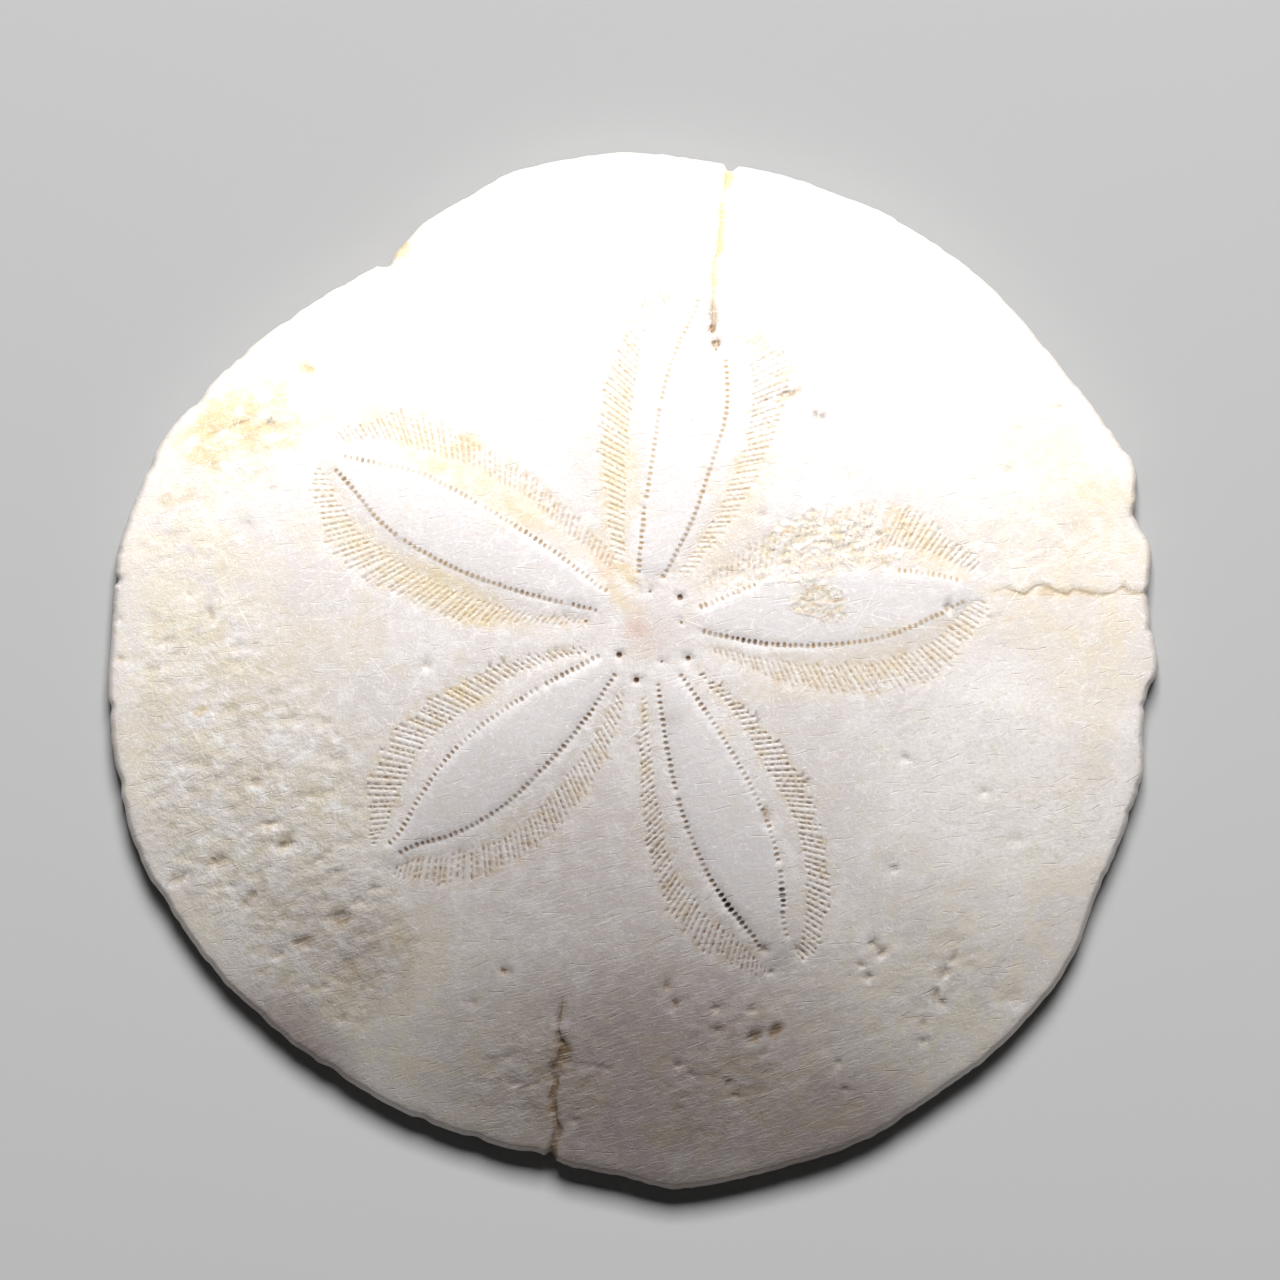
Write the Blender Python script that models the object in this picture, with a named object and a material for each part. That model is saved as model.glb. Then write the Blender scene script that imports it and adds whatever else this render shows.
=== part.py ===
"""A fossil sand dollar (a flat scutellid sea urchin), lying on its flat oral face.

One solid test. Sizes are in millimetres and are turned into metres where the mesh is made. The origin is at the
centre of the bounding box at the level of the oral face, +Z is up, and +Y is the side that the longest petal
points to. The aboral face carries five petals: each has two rows of pores and two ribbed bands beside them.
"""

import math

import bmesh
import bpy
import numpy as np
from mathutils import Vector, geometry

MM = 0.001

# Driving dimensions, in millimetres
WIDTH = 92.0  # across the test, left to right
APEX_HEIGHT = 11.0  # the highest point, over the oral face
MARGIN_THICKNESS = 3.0  # where the aboral dome meets the rounded margin
AMBITUS_HEIGHT = 1.35  # the widest line of the margin, over the oral face
TOP_ROUNDING = 0.9  # how far in from the ambitus the upper rounding reaches
ORAL_ROUNDING = 1.4  # and the lower rounding
DOME_POWER = 2.7  # at 2 the dome is evenly round; higher, it is flatter in the middle and steeper at the margin
APEX = (1.3, 3.6)  # the apical disc, off the centre of the bounding box
WEAR = 0.3  # how far the margin has worn back

OUTLINE_STEPS = 176  # straight edges round the margin
TOP_INSETS = (0.14, 0.45, TOP_ROUNDING)  # rings of the upper rounding, in from the ambitus
ORAL_INSETS = (0.3, ORAL_ROUNDING)  # rings of the lower rounding
FIELD_SPACING = 3.1  # between the plain points of the aboral face
ORAL_SPACING = 5.5  # between those of the oral face
ROW_STEP = math.sqrt(3) / 2  # rows of a triangular grid, as a share of its spacing

# The margin's corners, anticlockwise from the top: (x, y)
OUTLINE = [
    (0.4, 45.4), (-4.3, 45.0), (-10.7, 43.6), (-14.8, 41.3), (-18.3, 39.2), (-21.6, 36.0), (-26.3, 33.3),
    (-30.9, 30.3), (-35.1, 26.9), (-38.8, 23.1), (-41.4, 19.9), (-43.5, 15.2), (-44.8, 11.6), (-45.4, 8.6),
    (-45.7, 3.2), (-46.0, -1.2), (-45.8, -5.3), (-45.0, -10.3), (-44.0, -14.4), (-42.2, -18.5), (-39.6, -22.4),
    (-36.0, -27.2), (-30.9, -31.9), (-27.5, -34.4), (-21.6, -38.0), (-17.5, -39.8), (-11.7, -41.7), (-8.2, -42.4),
    (-5.5, -43.5), (-1.4, -44.3), (2.5, -45.3), (4.6, -45.4), (9.4, -44.6), (13.8, -43.4), (18.7, -41.9),
    (22.5, -40.0), (28.1, -36.2), (31.4, -33.7), (35.8, -29.2), (38.7, -24.9), (40.7, -19.7), (43.3, -13.6),
    (44.8, -8.6), (44.7, -5.6), (45.1, -2.2), (46.0, 0.5), (45.2, 5.8), (45.4, 10.5), (44.2, 13.1),
    (44.1, 17.5), (42.3, 20.4), (38.4, 25.5), (32.2, 32.8), (26.6, 37.3), (22.0, 40.1), (17.5, 41.9), (12.6, 43.5),
    (6.4, 44.6),
]

# Chips and crack mouths in the margin: (azimuth about the centre in degrees, half width, depth)
NOTCHES = [
    (79.0, 0.8, 0.7), (121.2, 1.1, 0.6), (170.1, 0.7, 0.4), (260.4, 0.9, 0.6), (8.6, 0.7, 0.4), (148.0, 1.3, 0.2),
    (205.5, 1.4, 0.2), (233.0, 1.2, 0.25),
]

# Half widths of the petals at stations along their axes, in millimetres from the apex. Each side of a petal has
# its row of pores, then the inner edge and the outer edge of its ribbed band.
STATIONS = (5, 10, 15, 20, 25, 28, 31)
PETALS = [
    {
        "azimuth": 80.0, "rows_end": 29.3, "end": 30.6,
        "left": {"pores": (1.7, 2.1, 2.2, 2.3, 1.7, 0.8, 0.6), "inner": (2.9, 3.7, 4.3, 4.7, 4.4, 3.2, 1.2),
                 "outer": (4.0, 5.7, 7.2, 7.5, 6.7, 5.5, 1.4)},
        "right": {"pores": (0.6, 2.1, 2.9, 3.4, 2.4, 1.5, 1.0), "inner": (1.5, 3.7, 4.9, 5.3, 4.4, 3.4, 2.0),
                  "outer": (2.6, 5.4, 7.4, 8.3, 8.2, 4.9, 2.4)},
    },
    {
        "azimuth": 152.0, "rows_end": 30.6, "end": 32.0,
        "left": {"pores": (0.7, 2.0, 2.9, 3.2, 2.6, 1.4, 0.3), "inner": (1.5, 3.6, 4.5, 4.8, 4.3, 3.2, 1.2),
                 "outer": (2.3, 4.8, 7.2, 7.7, 7.7, 6.9, 3.8)},
        "right": {"pores": (1.3, 2.1, 2.6, 2.8, 2.5, 1.6, 0.8), "inner": (2.9, 4.0, 5.0, 5.2, 4.3, 3.8, 2.0),
                  "outer": (4.2, 5.8, 6.9, 7.4, 7.4, 6.8, 3.4)},
    },
    {
        "azimuth": 221.5, "rows_end": 29.4, "end": 30.8,
        "left": {"pores": (1.1, 2.4, 3.0, 3.1, 1.9, 0.5, 0.1), "inner": (2.2, 3.8, 5.0, 5.3, 3.5, 1.6, 0.7),
                 "outer": (3.0, 5.9, 7.5, 8.0, 6.7, 5.2, 1.5)},
        "right": {"pores": (1.2, 2.4, 3.2, 3.3, 2.1, 1.1, 0.8), "inner": (1.8, 4.3, 4.9, 5.3, 3.9, 2.3, 1.4),
                  "outer": (2.6, 5.7, 7.6, 8.3, 7.4, 5.6, 1.7)},
    },
    {
        "azimuth": 292.7, "rows_end": 29.7, "end": 31.5,
        "left": {"pores": (1.2, 2.2, 2.9, 3.1, 2.2, 1.1, 0.6), "inner": (2.4, 4.0, 4.6, 5.2, 4.4, 3.0, 1.2),
                 "outer": (3.0, 5.4, 7.1, 7.7, 6.7, 5.8, 3.2)},
        "right": {"pores": (1.1, 2.4, 3.3, 3.5, 2.8, 1.9, 1.4), "inner": (2.2, 3.8, 5.0, 5.7, 4.6, 2.9, 2.0),
                  "outer": (2.6, 5.1, 6.9, 7.8, 7.5, 6.3, 3.4)},
    },
    {
        "azimuth": 7.8, "rows_end": 27.6, "end": 29.2,
        "left": {"pores": (1.4, 2.6, 2.6, 2.5, 1.5, 0.5, 0.2), "inner": (3.0, 3.9, 4.1, 4.2, 3.2, 1.4, 0.8),
                 "outer": (3.2, 6.0, 8.0, 8.2, 7.0, 3.6, 1.2)},
        "right": {"pores": (0.9, 2.6, 3.4, 3.4, 2.2, 1.2, 1.0), "inner": (2.0, 3.8, 5.0, 5.2, 3.9, 1.6, 1.4),
                  "outer": (2.6, 5.7, 7.8, 8.3, 7.3, 4.2, 2.2)},
    },
]
ROWS_START = 5.0  # where the pores and ribs begin, from the apex
RIB_PITCH = 1.0  # between ribs, and between pores
RIB_DEPTH = 0.32  # of the furrow between two ribs
SLANT_STATIONS = (5, 15, 22, 28, 31)  # the ribs lean towards the petal's tip, by these degrees at the stations
SLANT = (6, 20, 34, 50, 55)
BAND_SINK = 0.10  # how far the ribbed bands lie below the dome
PORE_DEPTH = 0.38
PORE_HALF_WIDTH = 0.24
FURROW_ENDS = (0.15, 0.85)  # where a furrow starts and stops, as shares of its band's width
CENTRE_SWELL = 0.22  # how far a petal's smooth centre stands up
SWELL_START = 8.0  # where that swelling begins, from the apex
SWELL_STOP = 3.0  # how far short of the rows' end it stops
SWELL_STEP = 2.4
SWELL_SIDES = (-0.45, 0.0, 0.45)  # its points across the petal, as shares of the half width
RELIEF_CLEARANCE = 0.6  # plain points keep this far from pits, furrows, ribs and pores

# The four gonopores of the apical disc: (x, y)
GONOPORES = [(4.1, 6.4), (-1.2, 1.4), (0.3, -0.8), (4.8, 1.1)]
GONOPORE_RADIUS = 0.32
GONOPORE_DEPTH = 0.5

# Larger pits of the weathered face: (x, y, radius, depth)
PITS = [
    (10.6, -31.9, 0.8, 0.5), (12.4, -31.4, 0.8, 0.5), (-25.4, -21.5, 0.8, 0.5), (-30.3, -15.1, 0.6, 0.4),
    (-36.2, -16.7, 0.8, 0.4), (-39.6, -18.1, 0.8, 0.4), (-28.8, -23.7, 0.7, 0.4), (-32.9, -7.4, 0.5, 0.3),
    (-37.8, -3.4, 0.7, 0.4), (24.4, -26.4, 0.5, 0.4), (13.9, 24.1, 0.9, 0.5), (30.6, -10.6, 0.5, 0.3),
    (33.1, -28.6, 0.7, 0.3), (11.6, -13.0, 0.5, 0.4), (7.4, -32.3, 0.5, 0.3), (26.5, -27.5, 0.5, 0.3),
]

FURROW_TAPER = 0.35  # the width and depth at the ends of a crack or groove, as a share of its own

# Cracks, from the inside out: (x, y)
CRACKS = [
    {"width": 0.7, "depth": 0.6,
     "line": [(7.1, 27.9), (7.2, 28.8), (7.2, 32.5), (6.9, 35.2), (7.5, 36.6), (7.7, 38.6), (7.9, 41.2), (8.3, 42.8)]},
    {"width": 0.6, "depth": 0.4,
     "line": [(30.6, 6.7), (33.1, 7.0), (35.9, 7.4), (37.9, 6.6), (39.9, 6.9), (42.0, 6.6), (43.6, 6.7)]},
    {"width": 0.8, "depth": 0.6,
     "line": [(-6.1, -28.8), (-6.5, -31.0), (-5.9, -32.9), (-6.9, -35.1), (-6.7, -36.0), (-7.0, -37.3),
              (-6.8, -39.0), (-6.6, -40.4)]},
]

# Oral face: the mouth, the anal opening near the flattened rear margin, and the food grooves
MOUTH = (0.9, 2.2)
MOUTH_RADIUS = 1.9
MOUTH_DEPTH = 1.6
PERIPROCT = (-18.2, 33.6)
PERIPROCT_RADIUS = 0.9
PERIPROCT_DEPTH = 0.8
GROOVE_WIDTH = 1.0
GROOVE_DEPTH = 0.45
GROOVE_START = 0.8  # from the mouth's edge to the trunk
GROOVE_TRUNK = 6.0  # from the mouth's centre to the fork
GROOVE_FORK = 1.2  # from the fork to the two branches
GROOVE_FORK_ANGLE = 3.0  # degrees from the trunk to a branch where the branch begins
GROOVE_POINTS = 7  # along a branch
GROOVE_REACH = 34.0  # from the mouth's centre to a branch's end
GROOVE_SPREAD = 17.0  # degrees between a branch's end and the petal's azimuth

COLOUR = (0.78, 0.71, 0.60, 1.0)
ROUGHNESS = 0.55


def closed_spline(points, steps):
    """A smooth closed curve through the points (Catmull-Rom), as steps points."""
    points = np.array(points)
    count = len(points)
    curve = []
    for at in np.arange(steps) * count / steps:
        i = int(at)
        t = at - i
        a, b, c, d = (points[(i + k) % count] for k in (-1, 0, 1, 2))
        curve.append(0.5 * (2 * b + (c - a) * t + (2 * a - 5 * b + 4 * c - d) * t**2
                            + (3 * b - a - 3 * c + d) * t**3))
    return np.array(curve)


def notched(curve):
    """The outline with its chips and crack mouths cut in, towards the centre."""
    radius = np.hypot(curve[:, 0], curve[:, 1])
    azimuth = np.degrees(np.arctan2(curve[:, 1], curve[:, 0]))
    cut = np.zeros(len(curve))
    for place, half_width, depth in NOTCHES:
        off = (azimuth - place + 180) % 360 - 180
        along = np.radians(off) * radius / half_width
        cut = np.maximum(cut, depth * np.clip(1 - np.abs(along), 0, 1))
    return curve * (1 - cut / radius)[:, None]


def fitted(curve):
    """The outline centred on the origin and scaled to the test's width."""
    low, high = curve.min(axis=0), curve.max(axis=0)
    return (curve - (low + high) / 2) * WIDTH / (high[0] - low[0])


def reach_table(curve):
    """The distance from the apex to a closed curve, as azimuths in order and the distances there."""
    away = curve - np.array(APEX)
    azimuth = np.arctan2(away[:, 1], away[:, 0])
    order = np.argsort(azimuth)
    return azimuth[order], np.hypot(away[:, 0], away[:, 1])[order]


class Test:
    """The form of the whole test: its outline, and the heights of its two faces."""

    def __init__(self):
        self.outline = fitted(notched(closed_spline(OUTLINE, OUTLINE_STEPS)))
        self.worn = reach_table(self.outline)
        self.whole = reach_table(fitted(closed_spline(OUTLINE[::2], OUTLINE_STEPS)))

    def polar(self, points):
        """Share of the way from the apex to the unworn margin, and the distance to the real one."""
        away = np.asarray(points) - np.array(APEX)
        radius = np.hypot(away[:, 0], away[:, 1])
        azimuth = np.arctan2(away[:, 1], away[:, 0])
        whole, worn = (np.interp(azimuth, *table, period=2 * math.pi) for table in (self.whole, self.worn))
        return np.clip(radius / (whole + WEAR), 0, 1), np.maximum(worn - radius, 0)

    def dome(self, points):
        """Height of the aboral face without its relief."""
        share, inset = self.polar(points)
        top = MARGIN_THICKNESS + (APEX_HEIGHT - MARGIN_THICKNESS) * (1 - share**DOME_POWER)
        rounding = np.sqrt(1 - np.clip(1 - inset / TOP_ROUNDING, 0, 1) ** 2)
        return AMBITUS_HEIGHT + (top - AMBITUS_HEIGHT) * rounding

    def oral(self, points):
        """Height of the oral face without its relief: flat, then turned up at the margin."""
        inset = self.polar(points)[1]
        rounding = np.sqrt(1 - np.clip(1 - inset / ORAL_ROUNDING, 0, 1) ** 2)
        return AMBITUS_HEIGHT * (1 - rounding)


class Net:
    """Points with heights, and the edges that the triangles must keep."""

    def __init__(self, face):
        self.face = face
        self.points = []
        self.offsets = []
        self.edges = []
        self.keep_clear = []  # (x, y, radius): plain points stay out

    def add(self, x, y, offset=0.0):
        """One point, offset from the face along Z."""
        self.points.append((x, y))
        self.offsets.append(offset)
        return len(self.points) - 1

    def chain(self, indices, closed=False):
        """Keeps the edges between neighbours in a list of points."""
        self.edges += list(zip(indices[:-1], indices[1:]))
        if closed:
            self.edges.append((indices[-1], indices[0]))

    def clear(self, x, y, radius):
        self.keep_clear.append((x, y, radius))

    def pit(self, x, y, radius, depth, sides=6):
        """A small bowl: a rim on the face and one point at the bottom."""
        rim = [self.add(x + radius * math.cos(math.tau * k / sides), y + radius * math.sin(math.tau * k / sides))
               for k in range(sides)]
        floor = self.add(x, y, depth)
        self.chain(rim, closed=True)
        self.edges += [(floor, corner) for corner in rim]
        self.clear(x, y, radius + RELIEF_CLEARANCE)

    def furrow(self, line, width, depth):
        """A V-shaped furrow along a line of points: its bed and its two banks."""
        line = np.array(line)
        along = np.gradient(line, axis=0)
        along /= np.linalg.norm(along, axis=1)[:, None]
        across = np.stack([-along[:, 1], along[:, 0]], axis=1)
        banks = [[], []]
        bed = []
        for k, (point, side) in enumerate(zip(line, across)):
            taper = FURROW_TAPER if k in (0, len(line) - 1) else 1.0
            bed.append(self.add(*point, depth * taper))
            banks[0].append(self.add(*(point + side * width / 2 * taper)))
            banks[1].append(self.add(*(point - side * width / 2 * taper)))
            self.clear(*point, width + RELIEF_CLEARANCE)
        for indices in (bed, *banks):
            self.chain(indices)

    def scatter(self, outline, spacing):
        """Plain points on a triangular grid, clear of the relief and of the margin."""
        kept = np.array(self.points)
        clear = np.array(self.keep_clear)
        reach = np.abs(outline).max()
        rows = int(reach / (spacing * ROW_STEP)) + 1
        for row in range(-rows, rows + 1):
            for column in range(-rows, rows + 1):
                x = (column + 0.5 * (row % 2)) * spacing
                y = row * spacing * ROW_STEP
                far = np.hypot(kept[:, 0] - x, kept[:, 1] - y).min() > spacing / 2
                free = (np.hypot(clear[:, 0] - x, clear[:, 1] - y) > clear[:, 2]).all()
                if far and free and self.face.polar([(x, y)])[1][0] > spacing / 2:
                    self.add(x, y)


def margin_rings(net, insets):
    """The ambitus and the rings beside it, which carry the rounding of the margin."""
    rim = net.face.outline
    for inset in (0.0, *insets):
        inward = np.array(APEX) - rim
        inward /= np.linalg.norm(inward, axis=1)[:, None]
        ring = [net.add(*point) for point in rim + inward * inset]
        net.chain(ring, closed=True)


def petal_point(petal, along, across):
    """A point of a petal, from its distance along the axis and across it (left is positive)."""
    azimuth = math.radians(petal["azimuth"])
    return (APEX[0] + along * math.cos(azimuth) - across * math.sin(azimuth),
            APEX[1] + along * math.sin(azimuth) + across * math.cos(azimuth))


def ribbed_side(net, petal, side):
    """One side of a petal: its row of pores and its ribbed band."""
    sign = 1 if side == "left" else -1
    count = int((petal["rows_end"] - ROWS_START) / RIB_PITCH)
    inner_edge, outer_edge, row_in, row_out = [], [], [], []
    for k in range(2 * count + 1):
        along = ROWS_START + k * RIB_PITCH / 2
        pores, inner, outer = (np.interp(along, STATIONS, petal[side][name]) for name in ("pores", "inner", "outer"))
        furrow = k % 2 == 1
        lean = math.tan(math.radians(np.interp(along, SLANT_STATIONS, SLANT))) * (outer - inner)
        if furrow:
            ends = [net.add(*petal_point(petal, along + lean * t, sign * (inner + (outer - inner) * t)),
                            -BAND_SINK - RIB_DEPTH) for t in FURROW_ENDS]
            net.edges.append(tuple(ends))
        else:
            inner_edge.append(net.add(*petal_point(petal, along, sign * inner)))
            outer_edge.append(net.add(*petal_point(petal, along + lean, sign * outer)))
            middle = net.add(*petal_point(petal, along + lean / 2, sign * (inner + outer) / 2), -BAND_SINK)
            net.edges += [(inner_edge[-1], middle), (middle, outer_edge[-1])]
        net.clear(*petal_point(petal, along + lean / 2, sign * (inner + outer) / 2), (outer - inner) / 2 + RELIEF_CLEARANCE)
        if furrow:
            net.add(*petal_point(petal, along, sign * pores), -PORE_DEPTH)
        else:
            row_in.append(net.add(*petal_point(petal, along, sign * (pores - PORE_HALF_WIDTH))))
            row_out.append(net.add(*petal_point(petal, along, sign * (pores + PORE_HALF_WIDTH))))
            net.edges.append((row_in[-1], row_out[-1]))
        net.clear(*petal_point(petal, along, sign * pores), PORE_HALF_WIDTH + RELIEF_CLEARANCE)
    for indices in (inner_edge, outer_edge, row_in, row_out):
        net.chain(indices)


def petal_centre(net, petal):
    """The smooth swollen strip between a petal's two rows of pores."""
    for along in np.arange(SWELL_START, petal["rows_end"] - SWELL_STOP, SWELL_STEP):
        left, right = (np.interp(along, STATIONS, petal[side]["pores"]) for side in ("left", "right"))
        for share in SWELL_SIDES:
            half = (left + right) / 2
            net.add(*petal_point(petal, along, (left - right) / 2 + share * half),
                    CENTRE_SWELL * (1 - share**2))


def food_grooves(net):
    """Five grooves from the mouth, each forked, with branches that curve out under the petals' sides."""
    for petal in PETALS:
        trunk_way = math.radians(petal["azimuth"])
        fork = (MOUTH[0] + GROOVE_TRUNK * math.cos(trunk_way), MOUTH[1] + GROOVE_TRUNK * math.sin(trunk_way))
        start = MOUTH_RADIUS + GROOVE_START
        net.furrow([(MOUTH[0] + start * math.cos(trunk_way), MOUTH[1] + start * math.sin(trunk_way)), fork],
                   GROOVE_WIDTH, GROOVE_DEPTH)
        for turn in (-1, 1):
            line = []
            for share in np.linspace(0.0, 1.0, GROOVE_POINTS):
                near = GROOVE_TRUNK + GROOVE_FORK
                radius = near + (GROOVE_REACH - near) * share
                bend = GROOVE_SPREAD * math.sin(share * math.pi / 2) + GROOVE_FORK_ANGLE
                way = math.radians(petal["azimuth"] + turn * bend)
                line.append((MOUTH[0] + radius * math.cos(way), MOUTH[1] + radius * math.sin(way)))
            net.furrow(line, GROOVE_WIDTH, GROOVE_DEPTH)


def aboral_net(test):
    net = Net(test)
    margin_rings(net, TOP_INSETS)
    for petal in PETALS:
        ribbed_side(net, petal, "left")
        ribbed_side(net, petal, "right")
        petal_centre(net, petal)
    for x, y in GONOPORES:
        net.pit(x, y, GONOPORE_RADIUS, -GONOPORE_DEPTH)
    for x, y, radius, depth in PITS:
        net.pit(x, y, radius, -depth)
    for crack in CRACKS:
        net.furrow(crack["line"], crack["width"], -crack["depth"])
    net.add(*APEX)
    net.scatter(test.outline, FIELD_SPACING)
    return net


def oral_net(test):
    net = Net(test)
    margin_rings(net, ORAL_INSETS)
    net.pit(*MOUTH, MOUTH_RADIUS, MOUTH_DEPTH, sides=12)
    net.pit(*PERIPROCT, PERIPROCT_RADIUS, PERIPROCT_DEPTH, sides=8)
    food_grooves(net)
    net.scatter(test.outline, ORAL_SPACING)
    return net


def add_face(mesh, net, height, rim, upward):
    """Adds a net to the mesh as a triangulated sheet that shares the rim's vertices."""
    points, _, triangles, origins, _, _ = geometry.delaunay_2d_cdt(
        [Vector(point) for point in net.points], net.edges, [], 0, 1e-6, True)
    flat = np.array([tuple(point) for point in points])
    offsets = np.array([np.mean([net.offsets[k] for k in source]) if source else 0.0 for source in origins])
    heights = height(flat) + offsets
    vertices = []
    for k, source in enumerate(origins):
        edge = [i for i in source if i < len(rim)]
        vertices.append(rim[edge[0]] if edge else mesh.verts.new((*flat[k] * MM, heights[k] * MM)))
    for a, b, c in triangles:
        middle = flat[[a, b, c]].mean(axis=0)
        if inside(middle, net.face.outline):
            turn = (flat[b] - flat[a])[0] * (flat[c] - flat[a])[1] - (flat[b] - flat[a])[1] * (flat[c] - flat[a])[0]
            corners = (a, b, c) if (turn > 0) == upward else (a, c, b)
            mesh.faces.new([vertices[k] for k in corners])


def inside(point, outline):
    """Whether a point lies within the closed outline."""
    a = outline
    b = np.roll(outline, -1, axis=0)
    crosses = (a[:, 1] > point[1]) != (b[:, 1] > point[1])
    with np.errstate(divide="ignore", invalid="ignore"):
        x = a[:, 0] + (point[1] - a[:, 1]) * (b[:, 0] - a[:, 0]) / (b[:, 1] - a[:, 1])
    return bool(np.count_nonzero(crosses & (x > point[0])) % 2)


def fossil_material():
    material = bpy.data.materials.new("fossil_limestone")
    material.use_nodes = True
    shader = material.node_tree.nodes["Principled BSDF"]
    shader.inputs["Base Color"].default_value = COLOUR
    shader.inputs["Roughness"].default_value = ROUGHNESS
    shader.inputs["Metallic"].default_value = 0.0
    return material


def build_test():
    test = Test()
    mesh = bmesh.new()
    rim = [mesh.verts.new((x * MM, y * MM, AMBITUS_HEIGHT * MM)) for x, y in test.outline]
    add_face(mesh, aboral_net(test), test.dome, rim, upward=True)
    add_face(mesh, oral_net(test), test.oral, rim, upward=False)
    bmesh.ops.delete(mesh, geom=[v for v in mesh.verts if not v.link_faces], context="VERTS")
    data = bpy.data.meshes.new("sand_dollar_test")
    mesh.to_mesh(data)
    mesh.free()
    data.shade_smooth()
    data.set_sharp_from_angle(angle=math.radians(35))
    data.materials.append(fossil_material())
    solid = bpy.data.objects.new("sand_dollar_test", data)
    bpy.context.scene.collection.objects.link(solid)


for old in list(bpy.data.objects):
    bpy.data.objects.remove(old, do_unlink=True)
build_test()
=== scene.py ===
"""The looks of a fossil sand dollar that lies on its flat oral face.

One piece, the test's skin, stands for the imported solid. It has the same outline, dome and petals, with every
pore and furrow of the ribbed bands, the cracks, the pits and the worn margin as real relief. Sizes and places
are in millimetres in the part's frame, and are turned into metres where mesh, nodes and camera are made.
"""

import math

import bpy
import numpy as np
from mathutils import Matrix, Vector, geometry, kdtree


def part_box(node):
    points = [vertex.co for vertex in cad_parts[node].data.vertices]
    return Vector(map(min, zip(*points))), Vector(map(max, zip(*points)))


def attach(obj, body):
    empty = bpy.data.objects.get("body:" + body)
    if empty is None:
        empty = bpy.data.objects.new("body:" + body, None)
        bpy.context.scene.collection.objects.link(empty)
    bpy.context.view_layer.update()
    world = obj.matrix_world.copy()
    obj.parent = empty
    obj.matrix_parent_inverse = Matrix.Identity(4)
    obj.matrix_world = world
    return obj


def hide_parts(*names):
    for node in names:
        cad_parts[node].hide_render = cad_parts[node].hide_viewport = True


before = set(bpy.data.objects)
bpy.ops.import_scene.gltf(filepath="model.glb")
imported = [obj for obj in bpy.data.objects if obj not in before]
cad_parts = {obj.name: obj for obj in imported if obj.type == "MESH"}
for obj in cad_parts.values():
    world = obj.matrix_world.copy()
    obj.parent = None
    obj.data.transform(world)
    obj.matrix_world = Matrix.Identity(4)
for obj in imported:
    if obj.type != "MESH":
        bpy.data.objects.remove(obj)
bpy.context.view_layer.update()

NODE = "sand_dollar_test"
MM = 0.001

# ---------------------------------------------------------------- sizes of the test, in millimetres

LOW, HIGH = (np.array(corner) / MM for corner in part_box(NODE))
APEX_HEIGHT = 11.0
MARGIN_THICKNESS = 3.0
AMBITUS_HEIGHT = 1.35
TOP_ROUNDING = 0.6
ORAL_ROUNDING = 1.4
DOME_POWER = 2.7  # near 2 the dome is evenly round; higher, its middle is flatter and its margin steeper
APEX = np.array([1.3, 3.6])

RIM_STEPS = 880  # points of the ambitus
RIM_SCALLOP = 0.13  # depth of the fine wear all round the margin
WEAR_ROOM = 0.3  # kept between the unworn margin and a share of 1
CELL_SPACING = 0.17  # between points of the aboral face in its honeycombs
FINE_SPACING = 0.37  # where it is rough
FIELD_SPACING = 0.6  # and elsewhere
ORAL_SPACING = 1.0
FIELD_REACH = 50.0  # how far out points are laid before those past the margin are dropped
SAME_PLACE = 1e-4  # points closer than this are one

# The margin's corners, anticlockwise from the top: (x, y)
OUTLINE = [
    (0.4, 45.4), (-4.3, 45.0), (-10.7, 43.6), (-14.8, 41.3), (-18.3, 39.2), (-21.6, 36.0), (-26.3, 33.3),
    (-30.9, 30.3), (-35.1, 26.9), (-38.8, 23.1), (-41.4, 19.9), (-43.5, 15.2), (-44.8, 11.6),
    (-45.4, 8.6), (-45.7, 3.2), (-46.0, -1.2), (-45.8, -5.3), (-45.0, -10.3), (-44.0, -14.4),
    (-42.2, -18.5), (-39.6, -22.4), (-36.0, -27.2), (-30.9, -31.9), (-27.5, -34.4), (-21.6, -38.0),
    (-17.5, -39.8), (-11.7, -41.7), (-8.2, -42.4), (-5.5, -43.5), (-1.4, -44.3), (2.5, -45.3),
    (4.6, -45.4), (9.4, -44.6), (13.8, -43.4), (18.7, -41.9), (22.5, -40.0), (28.1, -36.2), (31.4, -33.7),
    (35.8, -29.2), (38.7, -24.9), (40.7, -19.7), (43.3, -13.6), (44.8, -8.6), (44.7, -5.6), (45.1, -2.2),
    (46.0, 0.5), (45.2, 5.8), (45.4, 10.5), (44.2, 13.1), (44.1, 17.5), (42.3, 20.4), (38.4, 25.5),
    (32.2, 32.8), (26.6, 37.3), (22.0, 40.1), (17.5, 41.9), (12.6, 43.5), (6.4, 44.6),
]

# Chips and crack mouths in the margin: (azimuth about the centre in degrees, half width, depth)
NOTCHES = [
    (79.0, 0.45, 0.7), (121.2, 0.9, 0.6), (170.1, 0.5, 0.4), (260.4, 0.5, 0.6), (8.6, 0.4, 0.22),
    (350.2, 1.2, 0.12), (148.0, 1.3, 0.2), (205.5, 1.4, 0.2), (233.0, 1.2, 0.25), (308.0, 1.3, 0.06),
    (326.0, 1.2, 0.08), (134.5, 0.8, 0.15), (141.0, 0.6, 0.15), (157.0, 0.9, 0.2), (184.0, 0.8, 0.15),
    (192.5, 1.0, 0.2), (215.0, 0.7, 0.15), (222.5, 1.2, 0.12), (245.0, 0.9, 0.12), (251.5, 0.7, 0.15),
    (283.0, 0.8, 0.1), (344.0, 0.5, 0.15), (347.0, 0.4, 0.15), (356.0, 0.6, 0.15), (4.5, 0.5, 0.2),
    (17.5, 0.8, 0.25), (24.0, 0.5, 0.15),
]

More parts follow.
